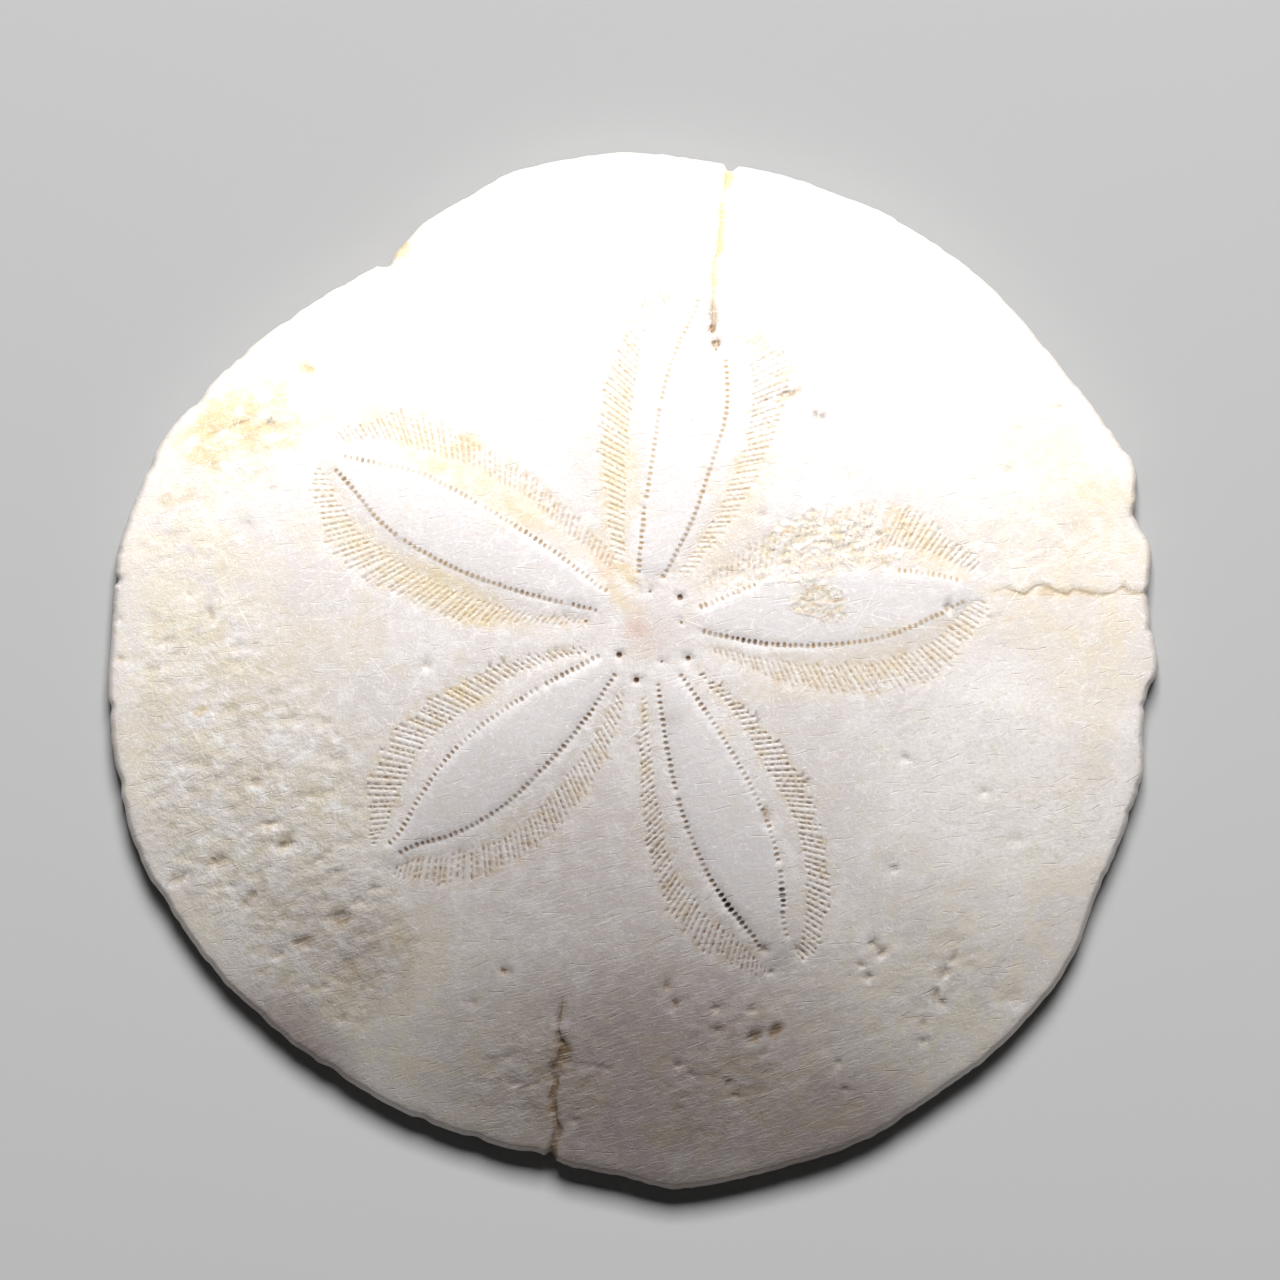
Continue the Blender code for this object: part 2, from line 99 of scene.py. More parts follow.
# Half widths of the petals at stations along their axes, from the apex. Each side of a petal has its row of
# pores, then the inner edge and the outer edge of its ribbed band. A petal's warm is how yellow its bands
# are, tone how dark, and cut how deep. Its pores end at rows_end and its bands at end.
STATIONS = (5, 10, 15, 20, 25, 28, 31)
PETALS = [
    {
        "azimuth": 80.0, "warm": 1.0, "tone": 0.55, "cut": 1.0, "rows_end": 29.3, "end": 31.2,
        "left": {"pores": (1.7, 2.1, 2.2, 2.3, 1.7, 0.8, 0.6), "inner": (2.9, 3.7, 4.3, 4.7, 4.4, 3.2, 1.2),
                 "outer": (4.0, 5.7, 7.2, 7.5, 6.7, 5.5, 1.4)},
        "right": {"pores": (0.6, 2.1, 2.9, 3.4, 2.4, 1.5, 1.0), "inner": (1.5, 3.7, 4.9, 5.3, 4.4, 3.4, 2.0),
                  "outer": (2.6, 5.4, 7.4, 8.3, 8.2, 4.9, 2.4)},
    },
    {
        "azimuth": 152.0, "warm": 0.85, "tone": 0.62, "cut": 1.0, "rows_end": 30.6, "end": 32.2,
        "left": {"pores": (0.7, 2.0, 2.9, 3.2, 2.6, 1.4, 0.3), "inner": (1.5, 3.6, 4.5, 4.8, 4.3, 3.2, 1.2),
                 "outer": (2.3, 4.8, 7.2, 7.7, 7.7, 6.9, 3.8)},
        "right": {"pores": (1.3, 2.1, 2.6, 2.8, 2.5, 1.6, 0.8), "inner": (2.9, 4.0, 5.0, 5.2, 4.3, 3.8, 2.0),
                  "outer": (4.2, 5.8, 6.9, 7.4, 7.4, 6.8, 3.4)},
    },
    {
        "azimuth": 221.5, "warm": 0.2, "tone": 1.0, "cut": 1.25, "rows_end": 29.4, "end": 31.0,
        "left": {"pores": (1.1, 2.4, 3.0, 3.1, 1.9, 0.5, 0.1), "inner": (2.2, 3.8, 5.0, 5.3, 3.5, 1.6, 0.7),
                 "outer": (3.0, 5.9, 7.5, 8.0, 6.7, 5.2, 1.5)},
        "right": {"pores": (1.2, 2.4, 3.2, 3.3, 2.1, 1.1, 0.8), "inner": (1.8, 4.3, 4.9, 5.3, 3.9, 2.3, 1.4),
                  "outer": (2.6, 5.7, 7.6, 8.3, 7.4, 5.6, 1.7)},
    },
    {
        "azimuth": 292.7, "warm": 0.15, "tone": 1.15, "cut": 1.7, "rows_end": 29.7, "end": 31.8,
        "left": {"pores": (1.2, 2.2, 2.9, 3.1, 2.2, 1.1, 0.6), "inner": (2.4, 4.0, 4.6, 5.2, 4.4, 3.0, 1.2),
                 "outer": (3.0, 5.4, 7.1, 7.7, 6.7, 5.8, 3.2)},
        "right": {"pores": (1.1, 2.4, 3.3, 3.5, 2.8, 1.9, 1.4), "inner": (2.2, 3.8, 5.0, 5.7, 4.6, 2.9, 2.0),
                  "outer": (2.6, 5.1, 6.9, 7.8, 7.5, 6.3, 3.4)},
    },
    {
        "azimuth": 7.8, "warm": 0.7, "tone": 0.7, "cut": 1.0, "rows_end": 27.6, "end": 29.6,
        "left": {"pores": (1.4, 2.6, 2.6, 2.5, 1.5, 0.5, 0.2), "inner": (3.0, 3.9, 4.1, 4.2, 3.2, 1.4, 0.8),
                 "outer": (3.2, 6.0, 8.0, 8.2, 7.0, 3.6, 1.2)},
        "right": {"pores": (0.9, 2.6, 3.4, 3.4, 2.2, 1.2, 1.0), "inner": (2.0, 3.8, 5.0, 5.2, 3.9, 1.6, 1.4),
                  "outer": (2.6, 5.7, 7.8, 8.3, 7.3, 4.2, 2.2)},
    },
]
SIDES = (("left", 1), ("right", -1))
ROWS = ("pores", "inner", "outer")
PETAL_START = (3.5, 6.0)  # along the axis: from nothing to the full form
WORN_GAPS = [(7.8, "left", 9.9, 21.5), (80.0, "right", 24.4, 40.0)]  # (azimuth, side, from, to)
ROWS_START = 4.8
PITCH = 0.508  # between pores, and between the furrows of a band
PORE_ACROSS = 0.245  # a pore's half width across its row
PORE_ALONG = 0.165
PORE_DEPTH = 0.11
PORES_MISSING = 0.015
# A pore's rings: (share of its half widths, points, share of its depth, how dark)
RINGS = ((0.0, 1, 1.0, 1.0), (0.55, 6, 0.9, 1.0), (0.84, 9, 0.35, 0.8), (1.12, 11, 0.0, 0.0))
FURROW_HALF_WIDTH = 0.095
FURROW_DEPTH = 0.13
FURROW_STEP = 0.15  # between its points
FURROW_INSET = 0.6  # between the ends of a band and its first and last furrow
FURROW_CAP = 0.13  # from a furrow's ends to plain stone
LONGEST_FURROW = 7.0
SHORTEST_FURROW = 0.3
DASH_HALVES = (0.15, 0.19, 0.25, 0.36)  # half lengths of the holes in a furrow
DASH_GAPS = (0.14, 0.4)  # the least and the most between them
BANK_LIFT = 0.01
CREST_LIFT = 0.012
SLANT_STATIONS = (5, 15, 22, 28, 31)  # the furrows lean towards the petal's tip, in degrees
SLANT = (6, 20, 34, 55, 66)
BAND_SINK = 0.05
CENTRE_SWELL = 0.2

# The gonopores and the small pits of the apical disc: (x, y, radius, depth)
GONOPORES = [(4.1, 6.4, 0.28, 0.4), (-1.2, 1.4, 0.28, 0.45), (0.3, -0.8, 0.28, 0.45), (4.8, 1.1, 0.24, 0.35),
             (4.2, 4.2, 0.14, 0.12), (2.5, 0.8, 0.13, 0.12), (-4.1, 4.3, 0.15, 0.1), (1.5, 6.9, 0.13, 0.12)]

# Pits of the weathered face: (x, y, half length, half width, azimuth of the length in degrees, depth)
PITS = [
    (10.6, -31.9, 0.75, 0.5, 20, 0.45), (12.4, -31.4, 0.8, 0.45, 60, 0.5),
    (-25.4, -21.5, 0.8, 0.6, 30, 0.5), (-24.0, -20.0, 0.8, 0.3, 40, 0.3),
    (-22.6, -19.0, 0.7, 0.3, 25, 0.25), (-30.3, -15.1, 0.7, 0.4, 35, 0.4),
    (-31.9, -13.3, 0.6, 0.4, 10, 0.35), (-36.2, -16.7, 1.0, 0.45, 15, 0.4),
    (-39.6, -18.1, 1.0, 0.35, 20, 0.35), (-35.1, -18.9, 0.5, 0.35, 0, 0.3),
    (-33.5, -19.9, 1.0, 0.35, 42, 0.35), (-28.8, -23.7, 1.1, 0.4, 15, 0.4),
    (-30.9, -24.7, 0.5, 0.4, 0, 0.3), (-33.0, -9.8, 0.5, 0.35, 90, 0.3),
    (-25.9, -5.5, 0.5, 0.3, 120, 0.2), (-37.8, -3.4, 0.65, 0.45, 20, 0.14),
    (-36.9, 4.8, 0.5, 0.35, 90, 0.25), (-40.6, 2.6, 0.5, 0.35, 40, 0.25), (-38.8, 6.6, 0.4, 0.3, 0, 0.2),
    (-33.7, 12.6, 0.6, 0.3, 60, 0.2), (-31.4, 15.8, 0.5, 0.35, 0, 0.2), (2.9, -27.5, 0.4, 0.3, 80, 0.35),
    (3.7, -29.2, 0.45, 0.3, 90, 0.4), (7.2, -29.4, 0.5, 0.3, 0, 0.3), (10.3, -29.6, 0.35, 0.3, 0, 0.3),
    (7.4, -31.3, 0.45, 0.3, 20, 0.35), (3.9, -34.4, 0.45, 0.35, 0, 0.3), (5.0, -35.2, 0.35, 0.3, 0, 0.25),
    (8.4, -36.0, 0.5, 0.35, 30, 0.35), (9.0, -37.1, 0.4, 0.3, 0, 0.3), (17.9, -34.2, 0.4, 0.3, 0, 0.3),
    (18.5, -36.6, 0.4, 0.3, 0, 0.3), (20.8, -23.8, 0.35, 0.28, 0, 0.35),
    (21.7, -24.7, 0.4, 0.3, 45, 0.35), (19.8, -25.7, 0.35, 0.25, 0, 0.3), (20.6, -26.7, 0.4, 0.3, 0, 0.3),
    (28.0, -25.1, 0.5, 0.3, 60, 0.3), (27.2, -26.4, 0.6, 0.3, 70, 0.35),
    (26.5, -28.3, 0.6, 0.3, 80, 0.35), (26.9, -29.0, 0.35, 0.3, 0, 0.3), (33.1, -28.6, 0.9, 0.6, 20, 0.2),
    (25.3, -30.8, 0.45, 0.3, 90, 0.3), (25.3, -32.4, 0.4, 0.3, 90, 0.3), (33.4, -14.8, 0.5, 0.4, 0, 0.2),
    (22.8, -17.3, 0.5, 0.35, 0, 0.25), (23.7, -7.6, 0.35, 0.3, 0, 0.25),
    (30.6, -10.6, 0.35, 0.3, 0, 0.25), (32.7, 17.5, 0.4, 0.3, 0, 0.25), (33.8, 21.1, 0.35, 0.3, 0, 0.2),
    (37.4, 23.0, 0.4, 0.3, 0, 0.25), (-11.3, -26.2, 0.3, 0.28, 0, 0.35), (-14.0, -28.9, 0.4, 0.3, 0, 0.2),
    (-25.4, -30.4, 0.5, 0.4, 0, 0.25), (-18.0, 0.4, 0.35, 0.3, 0, 0.2), (-45.1, 4.5, 0.4, 0.3, 0, 0.2),
    (-45.0, 1.1, 0.4, 0.3, 0, 0.2), (13.9, 24.1, 1.1, 0.35, 20, 0.35), (11.3, 13.6, 0.4, 0.3, 0, 0.25),
    (-28.3, 26.3, 0.5, 0.4, 0, 0.25), (11.6, -12.6, 0.7, 0.28, 105, 0.35),
    (11.4, -24.3, 0.34, 0.3, 0, 0.4), (14.5, -24.4, 0.5, 0.3, 150, 0.35),
    (12.0, -26.3, 0.25, 0.2, 0, 0.2), (27.4, 5.6, 0.3, 0.25, 60, 0.35),
    (7.25, 28.45, 0.35, 0.25, 80, 0.35), (6.9, 29.95, 0.35, 0.25, 100, 0.3),
]

PIT_SHARE = 0.6  # sediment fills the rest
PIT_SIZE = 1.45  # with its rounded lip
PIT_DARK = 0.45  # the depth from which a bed is darkest

# Cracks, from the inside out: depth, how far the left bank stands above the right, how dark the
# sediment in it is, and (x, y, half width) points
CRACKS = [
    {"depth": 0.2, "step": 0.0, "tone": 0.4,
     "line": [(7.1, 27.5, 0.2), (7.2, 28.4, 0.3), (7.0, 29.9, 0.14), (7.1, 32.5, 0.07), (6.9, 35.1, 0.06),
              (7.2, 36.0, 0.09), (7.5, 36.6, 0.11), (7.7, 38.6, 0.08), (7.9, 41.2, 0.08), (8.3, 42.9, 0.16),
              (8.5, 43.8, 0.3)]},
    {"depth": 0.08, "step": 0.03, "tone": 0.6,
     "line": [(30.6, 6.7, 0.05), (32.4, 7.2, 0.08), (33.1, 7.0, 0.1), (34.2, 6.6, 0.12), (35.2, 7.4, 0.16),
              (35.9, 7.4, 0.2), (37.0, 6.9, 0.16), (37.9, 6.6, 0.12), (38.5, 7.1, 0.16), (39.9, 6.7, 0.2),
              (40.9, 6.6, 0.16), (42.0, 6.8, 0.12), (42.8, 7.3, 0.16), (43.6, 6.8, 0.2), (45.2, 6.7, 0.25)]},
    {"depth": 0.34, "step": 0.05, "tone": 1.0,
     "line": [(-6.0, -27.5, 0.04), (-6.13, -28.9, 0.05), (-6.5, -31.0, 0.07), (-6.4, -32.1, 0.16),
              (-5.9, -32.9, 0.36), (-6.25, -33.9, 0.34), (-6.9, -35.1, 0.44), (-6.7, -36.0, 0.2),
              (-7.04, -37.3, 0.32), (-6.94, -38.1, 0.28), (-6.8, -39.0, 0.16), (-6.6, -40.4, 0.3),
              (-6.94, -41.5, 0.2), (-6.94, -42.6, 0.3)]},
    {"depth": 0.09, "step": 0.0, "tone": 0.15,
     "line": [(-1.4, -34.9, 0.2), (-3.4, -34.5, 0.3), (-4.9, -34.4, 0.35), (-6.1, -34.0, 0.35)]},
    {"depth": 0.08, "step": 0.0, "tone": 0.1,
     "line": [(-10.9, -36.2, 0.2), (-8.9, -36.1, 0.3), (-7.1, -35.2, 0.35)]},
    {"depth": 0.08, "step": 0.0, "tone": 0.1,
     "line": [(-4.2, -37.9, 0.2), (-5.7, -39.4, 0.3), (-6.5, -40.4, 0.35)]},
    {"depth": 0.07, "step": 0.0, "tone": 0.3,
     "line": [(-37.6, 20.5, 0.1), (-36.0, 20.9, 0.14), (-34.4, 21.6, 0.12), (-33.2, 22.0, 0.14),
              (-31.8, 22.5, 0.1)]},
]
CRACK_SIZE = 1.4  # with its crumbled edges
CRACK_REACH = 3.5  # how far beside a crack its banks keep their step

# Oral face
MOUTH = np.array([0.9, 2.2])
MOUTH_RADIUS = 1.9
MOUTH_DEPTH = 1.6
PERIPROCT = np.array([-18.2, 33.6])
PERIPROCT_RADIUS = 0.9
PERIPROCT_DEPTH = 0.8
GROOVE_HALF_WIDTH = 0.5
GROOVE_DEPTH = 0.45
GROOVE_TRUNK = 6.0
GROOVE_REACH = 34.0
GROOVE_SPREAD = 17.0  # degrees between a groove's trunk and the end of its branch
ORAL_GRAIN = 0.1

# Places eroded into fine ripples and cells: (x, y, half length, half width, azimuth, strength)
HONEYCOMBS = [
    (17.4, 11.3, 6.2, 2.6, 4, 1.0), (16.2, 6.0, 2.4, 1.8, 0, 0.9), (9.5, 8.6, 3.2, 1.4, 20, 0.6),
    (14.5, 8.6, 5.0, 1.0, 6, 0.6), (22.5, 10.4, 2.6, 1.6, 150, 0.5),
]
CELL_SINK = 0.06
CELL_RIPPLE = 0.12

# Eroded places: (x, y, radius, strength)
ROUGH_ZONES = [
    (-33.0, -12.0, 15.0, 1.0), (-38.0, 0.0, 10.0, 0.7), (-27.0, -23.0, 11.0, 0.9),
    (-34.0, 21.0, 7.0, 0.9), (-40.0, 12.0, 7.0, 0.6), (16.0, -30.0, 12.0, 0.35), (27.0, -26.0, 9.0, 0.4),
    (36.0, 10.0, 12.0, 0.35), (8.0, -36.0, 9.0, 0.5), (36.0, -12.0, 10.0, 0.25), (-8.0, -36.0, 8.5, 0.7),
]
ROUGH_GRAIN = 0.05
ROUGH_HOLLOW = 0.28

# Where the pores are wide open, deeper, and painted nearly black with the shade inside them: (x, y, radius,
# strength)
DARK_PORES = [
    (8.7, -20.8, 3.0, 1.0), (13.1, -19.5, 2.6, 0.9), (3.5, -7.5, 6.0, 0.28), (-6.5, -3.0, 4.5, 0.25),
    (10.0, 2.4, 1.6, 0.6), (-22.5, 20.8, 6.0, 0.4), (-15.0, 16.5, 5.0, 0.35), (-8.5, 11.5, 4.0, 0.2),
]

# Where they are filled and pale
PALE_PORES = [
    (4.0, 22.0, 24.0, 0.85), (24.5, 4.0, 14.0, 0.95), (21.0, 1.5, 7.0, 0.95), (-23.0, 13.0, 7.0, 0.95),
    (-14.0, 8.5, 6.0, 0.7), (-20.0, 13.0, 18.0, 0.8), (-2.0, 6.5, 5.0, 0.5),
]

# Stains, and painted light and shade: the pale kind is a painted patch of light on the lower right and the
# kind with soft edges painted shade over the lower half: (kind, x, y, half length, half width, azimuth,
# strength)
STAINS_LIGHT_AND_SHADE = [
    ("brown", 7.05, 31.2, 1.5, 0.35, 96, 0.6), ("brown", 6.9, 29.85, 0.5, 0.35, 90, 1.3),
    ("brown", 7.25, 28.5, 0.5, 0.4, 0, 1.3), ("brown", 7.2, 27.9, 0.4, 0.35, 0, 1.3),
    ("brown", 11.6, 23.7, 0.8, 0.3, 10, 0.7), ("brown", 13.5, 24.2, 0.8, 0.35, 20, 0.6),
    ("grey", 16.2, 22.3, 0.8, 0.4, 160, 1.3), ("ochre", -0.5, 25.3, 0.9, 0.7, 0, 0.5),
    ("ochre", -0.7, 21.5, 0.8, 0.6, 0, 0.6), ("ochre", 0.0, 22.3, 1.4, 0.2, 155, 0.35),
    ("brown", 6.9, 17.4, 0.45, 0.9, 70, 0.35), ("ochre", 6.6, 16.4, 1.2, 1.6, 60, 0.35),
    ("ochre", -14.5, 19.4, 1.4, 1.2, 40, 1.8), ("ochre", -16.4, 18.8, 0.9, 0.7, 0, 0.9),
    ("pink", -14.7, 19.3, 1.0, 0.8, 60, 0.6), ("ochre", -18.3, 19.8, 0.8, 0.6, 0, 0.5),
    ("ochre", -9.0, 14.5, 4.0, 1.4, 135, 0.35), ("khaki", -22.6, 10.1, 4.2, 1.7, 140, 0.9),
    ("khaki", -17.8, 7.1, 4.0, 1.8, 150, 0.8), ("khaki", -13.4, 4.9, 2.8, 1.3, 160, 0.8),
    ("ochre", -13.6, 4.7, 2.0, 1.0, 160, 1.3), ("ochre", -22.8, 11.9, 1.2, 0.8, 150, 0.5),
    ("brown", -22.8, 10.0, 0.3, 0.25, 0, 0.8), ("khaki", 17.4, 11.2, 6.0, 2.6, 4, 0.35),
    ("ochre", 22.6, 12.2, 1.0, 0.7, 150, 0.6), ("ochre", 17.6, 12.0, 0.7, 0.4, 130, 0.6),
    ("ochre", 14.5, 12.9, 1.0, 0.4, 10, 0.5), ("khaki", 16.1, 6.0, 2.3, 1.7, 0, 0.2),
    ("grey", 15.3, 7.3, 0.9, 0.5, 20, 0.5), ("ochre", 19.5, 9.6, 5.0, 0.9, 0, 0.3),
    ("ochre", 27.8, 8.7, 1.8, 0.5, 160, 0.55), ("ochre", 25.0, 11.2, 3.0, 1.6, 140, 0.35),
    ("khaki", 28.0, 3.0, 3.0, 1.8, 50, 0.35), ("ochre", 28.6, 3.5, 0.6, 0.5, 0, 0.4),
    ("ochre", 22.0, 3.6, 3.4, 0.5, 8, 0.45), ("grey", 20.7, 11.9, 1.1, 0.2, 5, 0.8),
    ("brown", 18.6, 9.3, 0.9, 0.25, 160, 0.5), ("ochre", -34.4, 21.6, 5.6, 2.8, 10, 1.4),
    ("ochre", -36.5, 19.4, 3.2, 1.8, 20, 1.1), ("ochre", -2.4, 9.6, 1.4, 3.0, 15, 0.8),
    ("ochre", -1.2, 6.3, 0.8, 1.6, 20, 0.8), ("ochre", -0.4, 8.4, 0.9, 1.5, 30, 1.0),
    ("brown", 0.3, 7.9, 0.3, 0.9, 25, 0.35), ("pink", 0.5, 3.6, 1.6, 1.05, 150, 0.95),
    ("pink", 0.9, 3.4, 2.8, 2.1, 150, 0.4), ("pink", -2.6, 9.2, 0.9, 2.4, 15, 0.55),
    ("brown", 0.3, 3.5, 0.45, 0.3, 20, 0.25), ("ochre", 0.2, 5.3, 1.1, 0.9, 0, 0.5),
    ("ochre", -4.1, 4.3, 0.6, 0.35, 0, 0.5), ("ochre", -15.0, -1.8, 1.2, 1.0, 20, 1.4),
    ("ochre", -13.6, -2.6, 1.2, 0.9, 20, 0.9), ("ochre", -11.6, -0.1, 1.2, 0.7, 20, 0.5),
    ("brown", -17.0, -1.2, 0.35, 0.25, 0, 0.8), ("ochre", -4.6, -10.3, 1.4, 0.9, 130, 0.5),
    ("ochre", 1.1, -8.5, 0.6, 1.0, 0, 0.7), ("brown", 1.8, -15.0, 0.6, 0.7, 0, 0.5),
    ("ochre", 13.9, -9.0, 1.0, 1.0, 0, 0.35), ("ochre", 7.9, -5.4, 0.8, 0.7, 0, 0.5),
    ("brown", 11.4, -12.3, 0.45, 0.3, 100, 1.0), ("grey", 3.6, -4.1, 1.2, 0.8, 20, 0.4),
    ("khaki", -8.7, -14.2, 0.7, 0.6, 0, 0.7), ("khaki", -9.4, -12.9, 1.2, 0.8, 30, 0.5),
    ("khaki", -20.0, -18.5, 4.5, 1.6, 10, 0.35), ("khaki", -12.0, -14.0, 4.5, 1.6, 30, 0.35),
    ("khaki", 12.5, -22.5, 3.5, 1.2, 150, 0.35), ("ochre", 37.9, 8.0, 6.5, 15.0, 0, 0.22),
    ("ochre", 36.0, 20.0, 6.0, 5.0, 130, 0.3), ("khaki", -32.7, -9.6, 12.0, 19.0, 20, 0.45),
    ("khaki", -37.4, -1.0, 4.4, 2.6, 5, 0.5), ("khaki", -39.2, -6.5, 4.6, 3.0, 0, 0.5),
    ("khaki", -30.0, -15.0, 4.0, 2.5, 30, 0.45), ("khaki", -22.0, -24.5, 8.0, 5.0, 20, 0.5),
    ("khaki", -38.0, 6.0, 6.0, 9.0, 0, 0.25), ("ochre", 32.8, 4.55, 0.4, 0.35, 0, 1.0),
    ("ochre", 22.7, 32.1, 0.8, 0.5, 0, 0.45), ("ochre", -28.4, 26.4, 0.7, 0.5, 0, 1.5),
    ("ochre", -29.4, 28.3, 0.5, 0.4, 0, 1.0), ("brown", -11.3, -26.2, 0.3, 0.28, 0, 1.0),
    ("ochre", -37.8, -3.4, 0.75, 0.5, 20, 1.8), ("ochre", -36.0, 20.9, 2.2, 0.5, 20, 0.7),
    ("ochre", -33.0, 22.1, 2.0, 0.5, 20, 0.7), ("grey", -31.7, 22.0, 0.6, 0.45, 50, 1.3),
    ("ochre", -20.3, 36.9, 1.3, 0.8, 40, 1.7), ("brown", -5.6, -33.7, 0.7, 0.5, 0, 0.8),
    ("ochre", 7.5, 37.6, 0.38, 6.8, -6, 1.3), ("ochre", 8.3, 43.0, 0.55, 1.2, 0, 2.0),
    ("ochre", 37.5, 6.9, 7.0, 0.6, 0, 0.7), ("khaki", 8.0, -36.0, 9.0, 5.0, 10, 0.35),
    ("brown", 10.6, -32.0, 0.8, 0.5, 20, 0.7), ("brown", 12.5, -31.3, 0.8, 0.5, 60, 0.8),
    ("brown", -25.4, -21.5, 0.8, 0.5, 30, 0.6), ("khaki", 25.0, -28.0, 8.0, 5.0, 40, 0.18),
    # painted shade: darker over the lower half and along its bottom edge
    ("lower_shade", 1.5, -36.0, 25.0, 18.0, 0, 1.1), ("lower_shade", -6.0, -18.0, 18.0, 14.0, 0, 0.4),
    ("lower_shade", 15.5, -40.5, 14.0, 9.0, 22, 1.15), ("lower_shade", -29.2, -32.4, 10.0, 5.0, 130, 0.9),
    ("lower_shade", -2.0, -44.5, 20.0, 5.0, -6, 1.1), ("ochre", -1.4, 18.5, 10.0, 1.7, 88, 0.85),
    ("ochre", 9.6, 15.5, 12.0, 2.0, 68, 0.4), ("ochre", -14.0, 16.9, 12.5, 2.3, 146, 0.85),
    ("ochre", -16.0, 7.0, 12.0, 2.2, 153, 0.85), ("ochre", 24.5, 12.0, 5.0, 1.6, 140, 0.7),
    ("ochre", 20.0, 0.5, 11.0, 2.4, 12, 0.4), ("ochre", 9.9, 40.8, 1.2, 0.4, 10, 0.9),
    ("ochre", 10.2, 39.7, 1.0, 0.3, 0, 0.8), ("ochre", 18.0, 38.2, 1.2, 0.35, -10, 0.9),
    ("ochre", 19.2, 36.9, 0.8, 0.35, 0, 0.8), ("ochre", 2.9, 44.1, 0.5, 0.3, 0, 1.0),
    ("brown", 19.8, 17.0, 1.3, 0.3, -10, 0.3), ("khaki", -44.8, 7.9, 1.0, 0.6, 60, 2.2),
    ("khaki", -44.9, 1.1, 0.8, 0.5, 0, 2.0), ("ochre", -39.5, 15.6, 2.2, 1.3, 30, 0.6),
    ("brown", -35.3, 15.8, 0.5, 0.25, 20, 0.4), ("khaki", -27.0, 2.5, 5.5, 4.0, 20, 0.55),
    # painted light: a paler patch over the lower right
    ("pale", 34.0, -9.5, 12.0, 13.0, 0, 0.75), ("khaki", -36.5, 3.0, 7.0, 5.0, 0, 0.4),
    # the first of these is painted shade over the lower left
    ("lower_shade", -25.0, -24.0, 10.0, 7.0, 150, 0.6), ("ochre", 40.5, 15.0, 5.0, 5.0, 0, 0.4),
]
# the pale kind is painted light and the last kind painted shade over the lower half
STAIN_LIGHT_AND_SHADE_KINDS = ("pale", "ochre", "khaki", "brown", "grey", "pink", "lower_shade")

# What the skin's points carry for the shader, each from 0 to about 1; the white on lips, crests and ridges is
# a painted highlight and the darkness in the pores painted shade
MASKS = ("pore", "furrow", "lip", "warm", "cells", "band", "petal", "crack", "pit", "rough", "edge",
         "outer", "dark") + STAIN_LIGHT_AND_SHADE_KINDS


# ---------------------------------------------------------------- marks and colours of the stone

# Long scratches: from (x, y) to (x, y), and the strength
SCRATCHES = [
    (-6.0, -26.7, 5.9, -22.7, 0.8), (22.5, -28.9, 32.2, -6.1, 0.5), (-25.9, -6.9, -26.0, -17.9, 0.5),
    (-24.0, -17.0, -22.7, -15.8, 0.8), (21.6, 4.0, 28.0, 3.7, 1.0), (9.9, 3.0, 10.7, 5.0, 0.7),
    (29.9, -1.2, 35.1, -1.3, 0.7), (-33.1, -28.3, -31.2, -26.5, 0.7), (6.7, -15.4, 11.1, -13.1, 0.7),
    (-2.9, -20.7, 2.4, -20.7, 0.6), (-2.3, -25.6, 3.9, -23.3, 0.7), (3.5, -38.6, 14.0, -36.4, 0.6),
    (14.5, -33.0, 25.0, -31.5, 0.5), (18.0, -12.0, 27.0, -14.5, 0.5), (-17.0, -28.5, -9.5, -30.5, 0.5),
]
SCRATCH_WIDTH = 0.09
SCRATCH_HEIGHT = 400.0  # so tall that the face's own height makes no difference

# Scratches at random: (size of the cells with one each, half width, azimuth, spread in degrees)
SHORT_SCRATCHES = [(0.8, 0.055, 15, 300), (1.5, 0.06, 14, 130), (2.8, 0.065, 12, 60), (5.0, 0.07, 10, 36),
                   (6.5, 0.07, 40, 50), (4.2, 0.065, -35, 60)]
SHALLOW_GROOVES = [(1.3, 0.07, 15, 50), (2.3, 0.07, 13, 40)]
# Fine ones side by side: (size of the cells, their stretch, half width, azimuth)
FINE_SCRATCHES = [(0.3, 4.5, 0.06, 12), (0.36, 6.0, 0.065, 17), (0.5, 5.0, 0.07, 24)]
BUMP_HEIGHT = 0.055

# Albedo of the stone and of what colours it
CREAM = (0.81, 0.76, 0.745, 1)
CREAM_DARK = (0.69, 0.635, 0.615, 1)
OUTER = (0.78, 0.705, 0.59, 1)
ROSE = (0.72, 0.65, 0.62, 1)
# painted shade, multiplied over the lower half
PAINTED_LOWER_SHADE = (0.565, 0.515, 0.51, 1)
RUST = (0.66, 0.47, 0.24, 1)
SPECK = (0.40, 0.36, 0.30, 1)
PALE = (0.86, 0.815, 0.80, 1)
BUFF = (0.70, 0.625, 0.50, 1)
POLISHED = (0.69, 0.655, 0.665, 1)
TAN = (0.62, 0.49, 0.33, 1)
BAND = (0.66, 0.575, 0.49, 1)
EDGE = (0.76, 0.70, 0.665, 1)
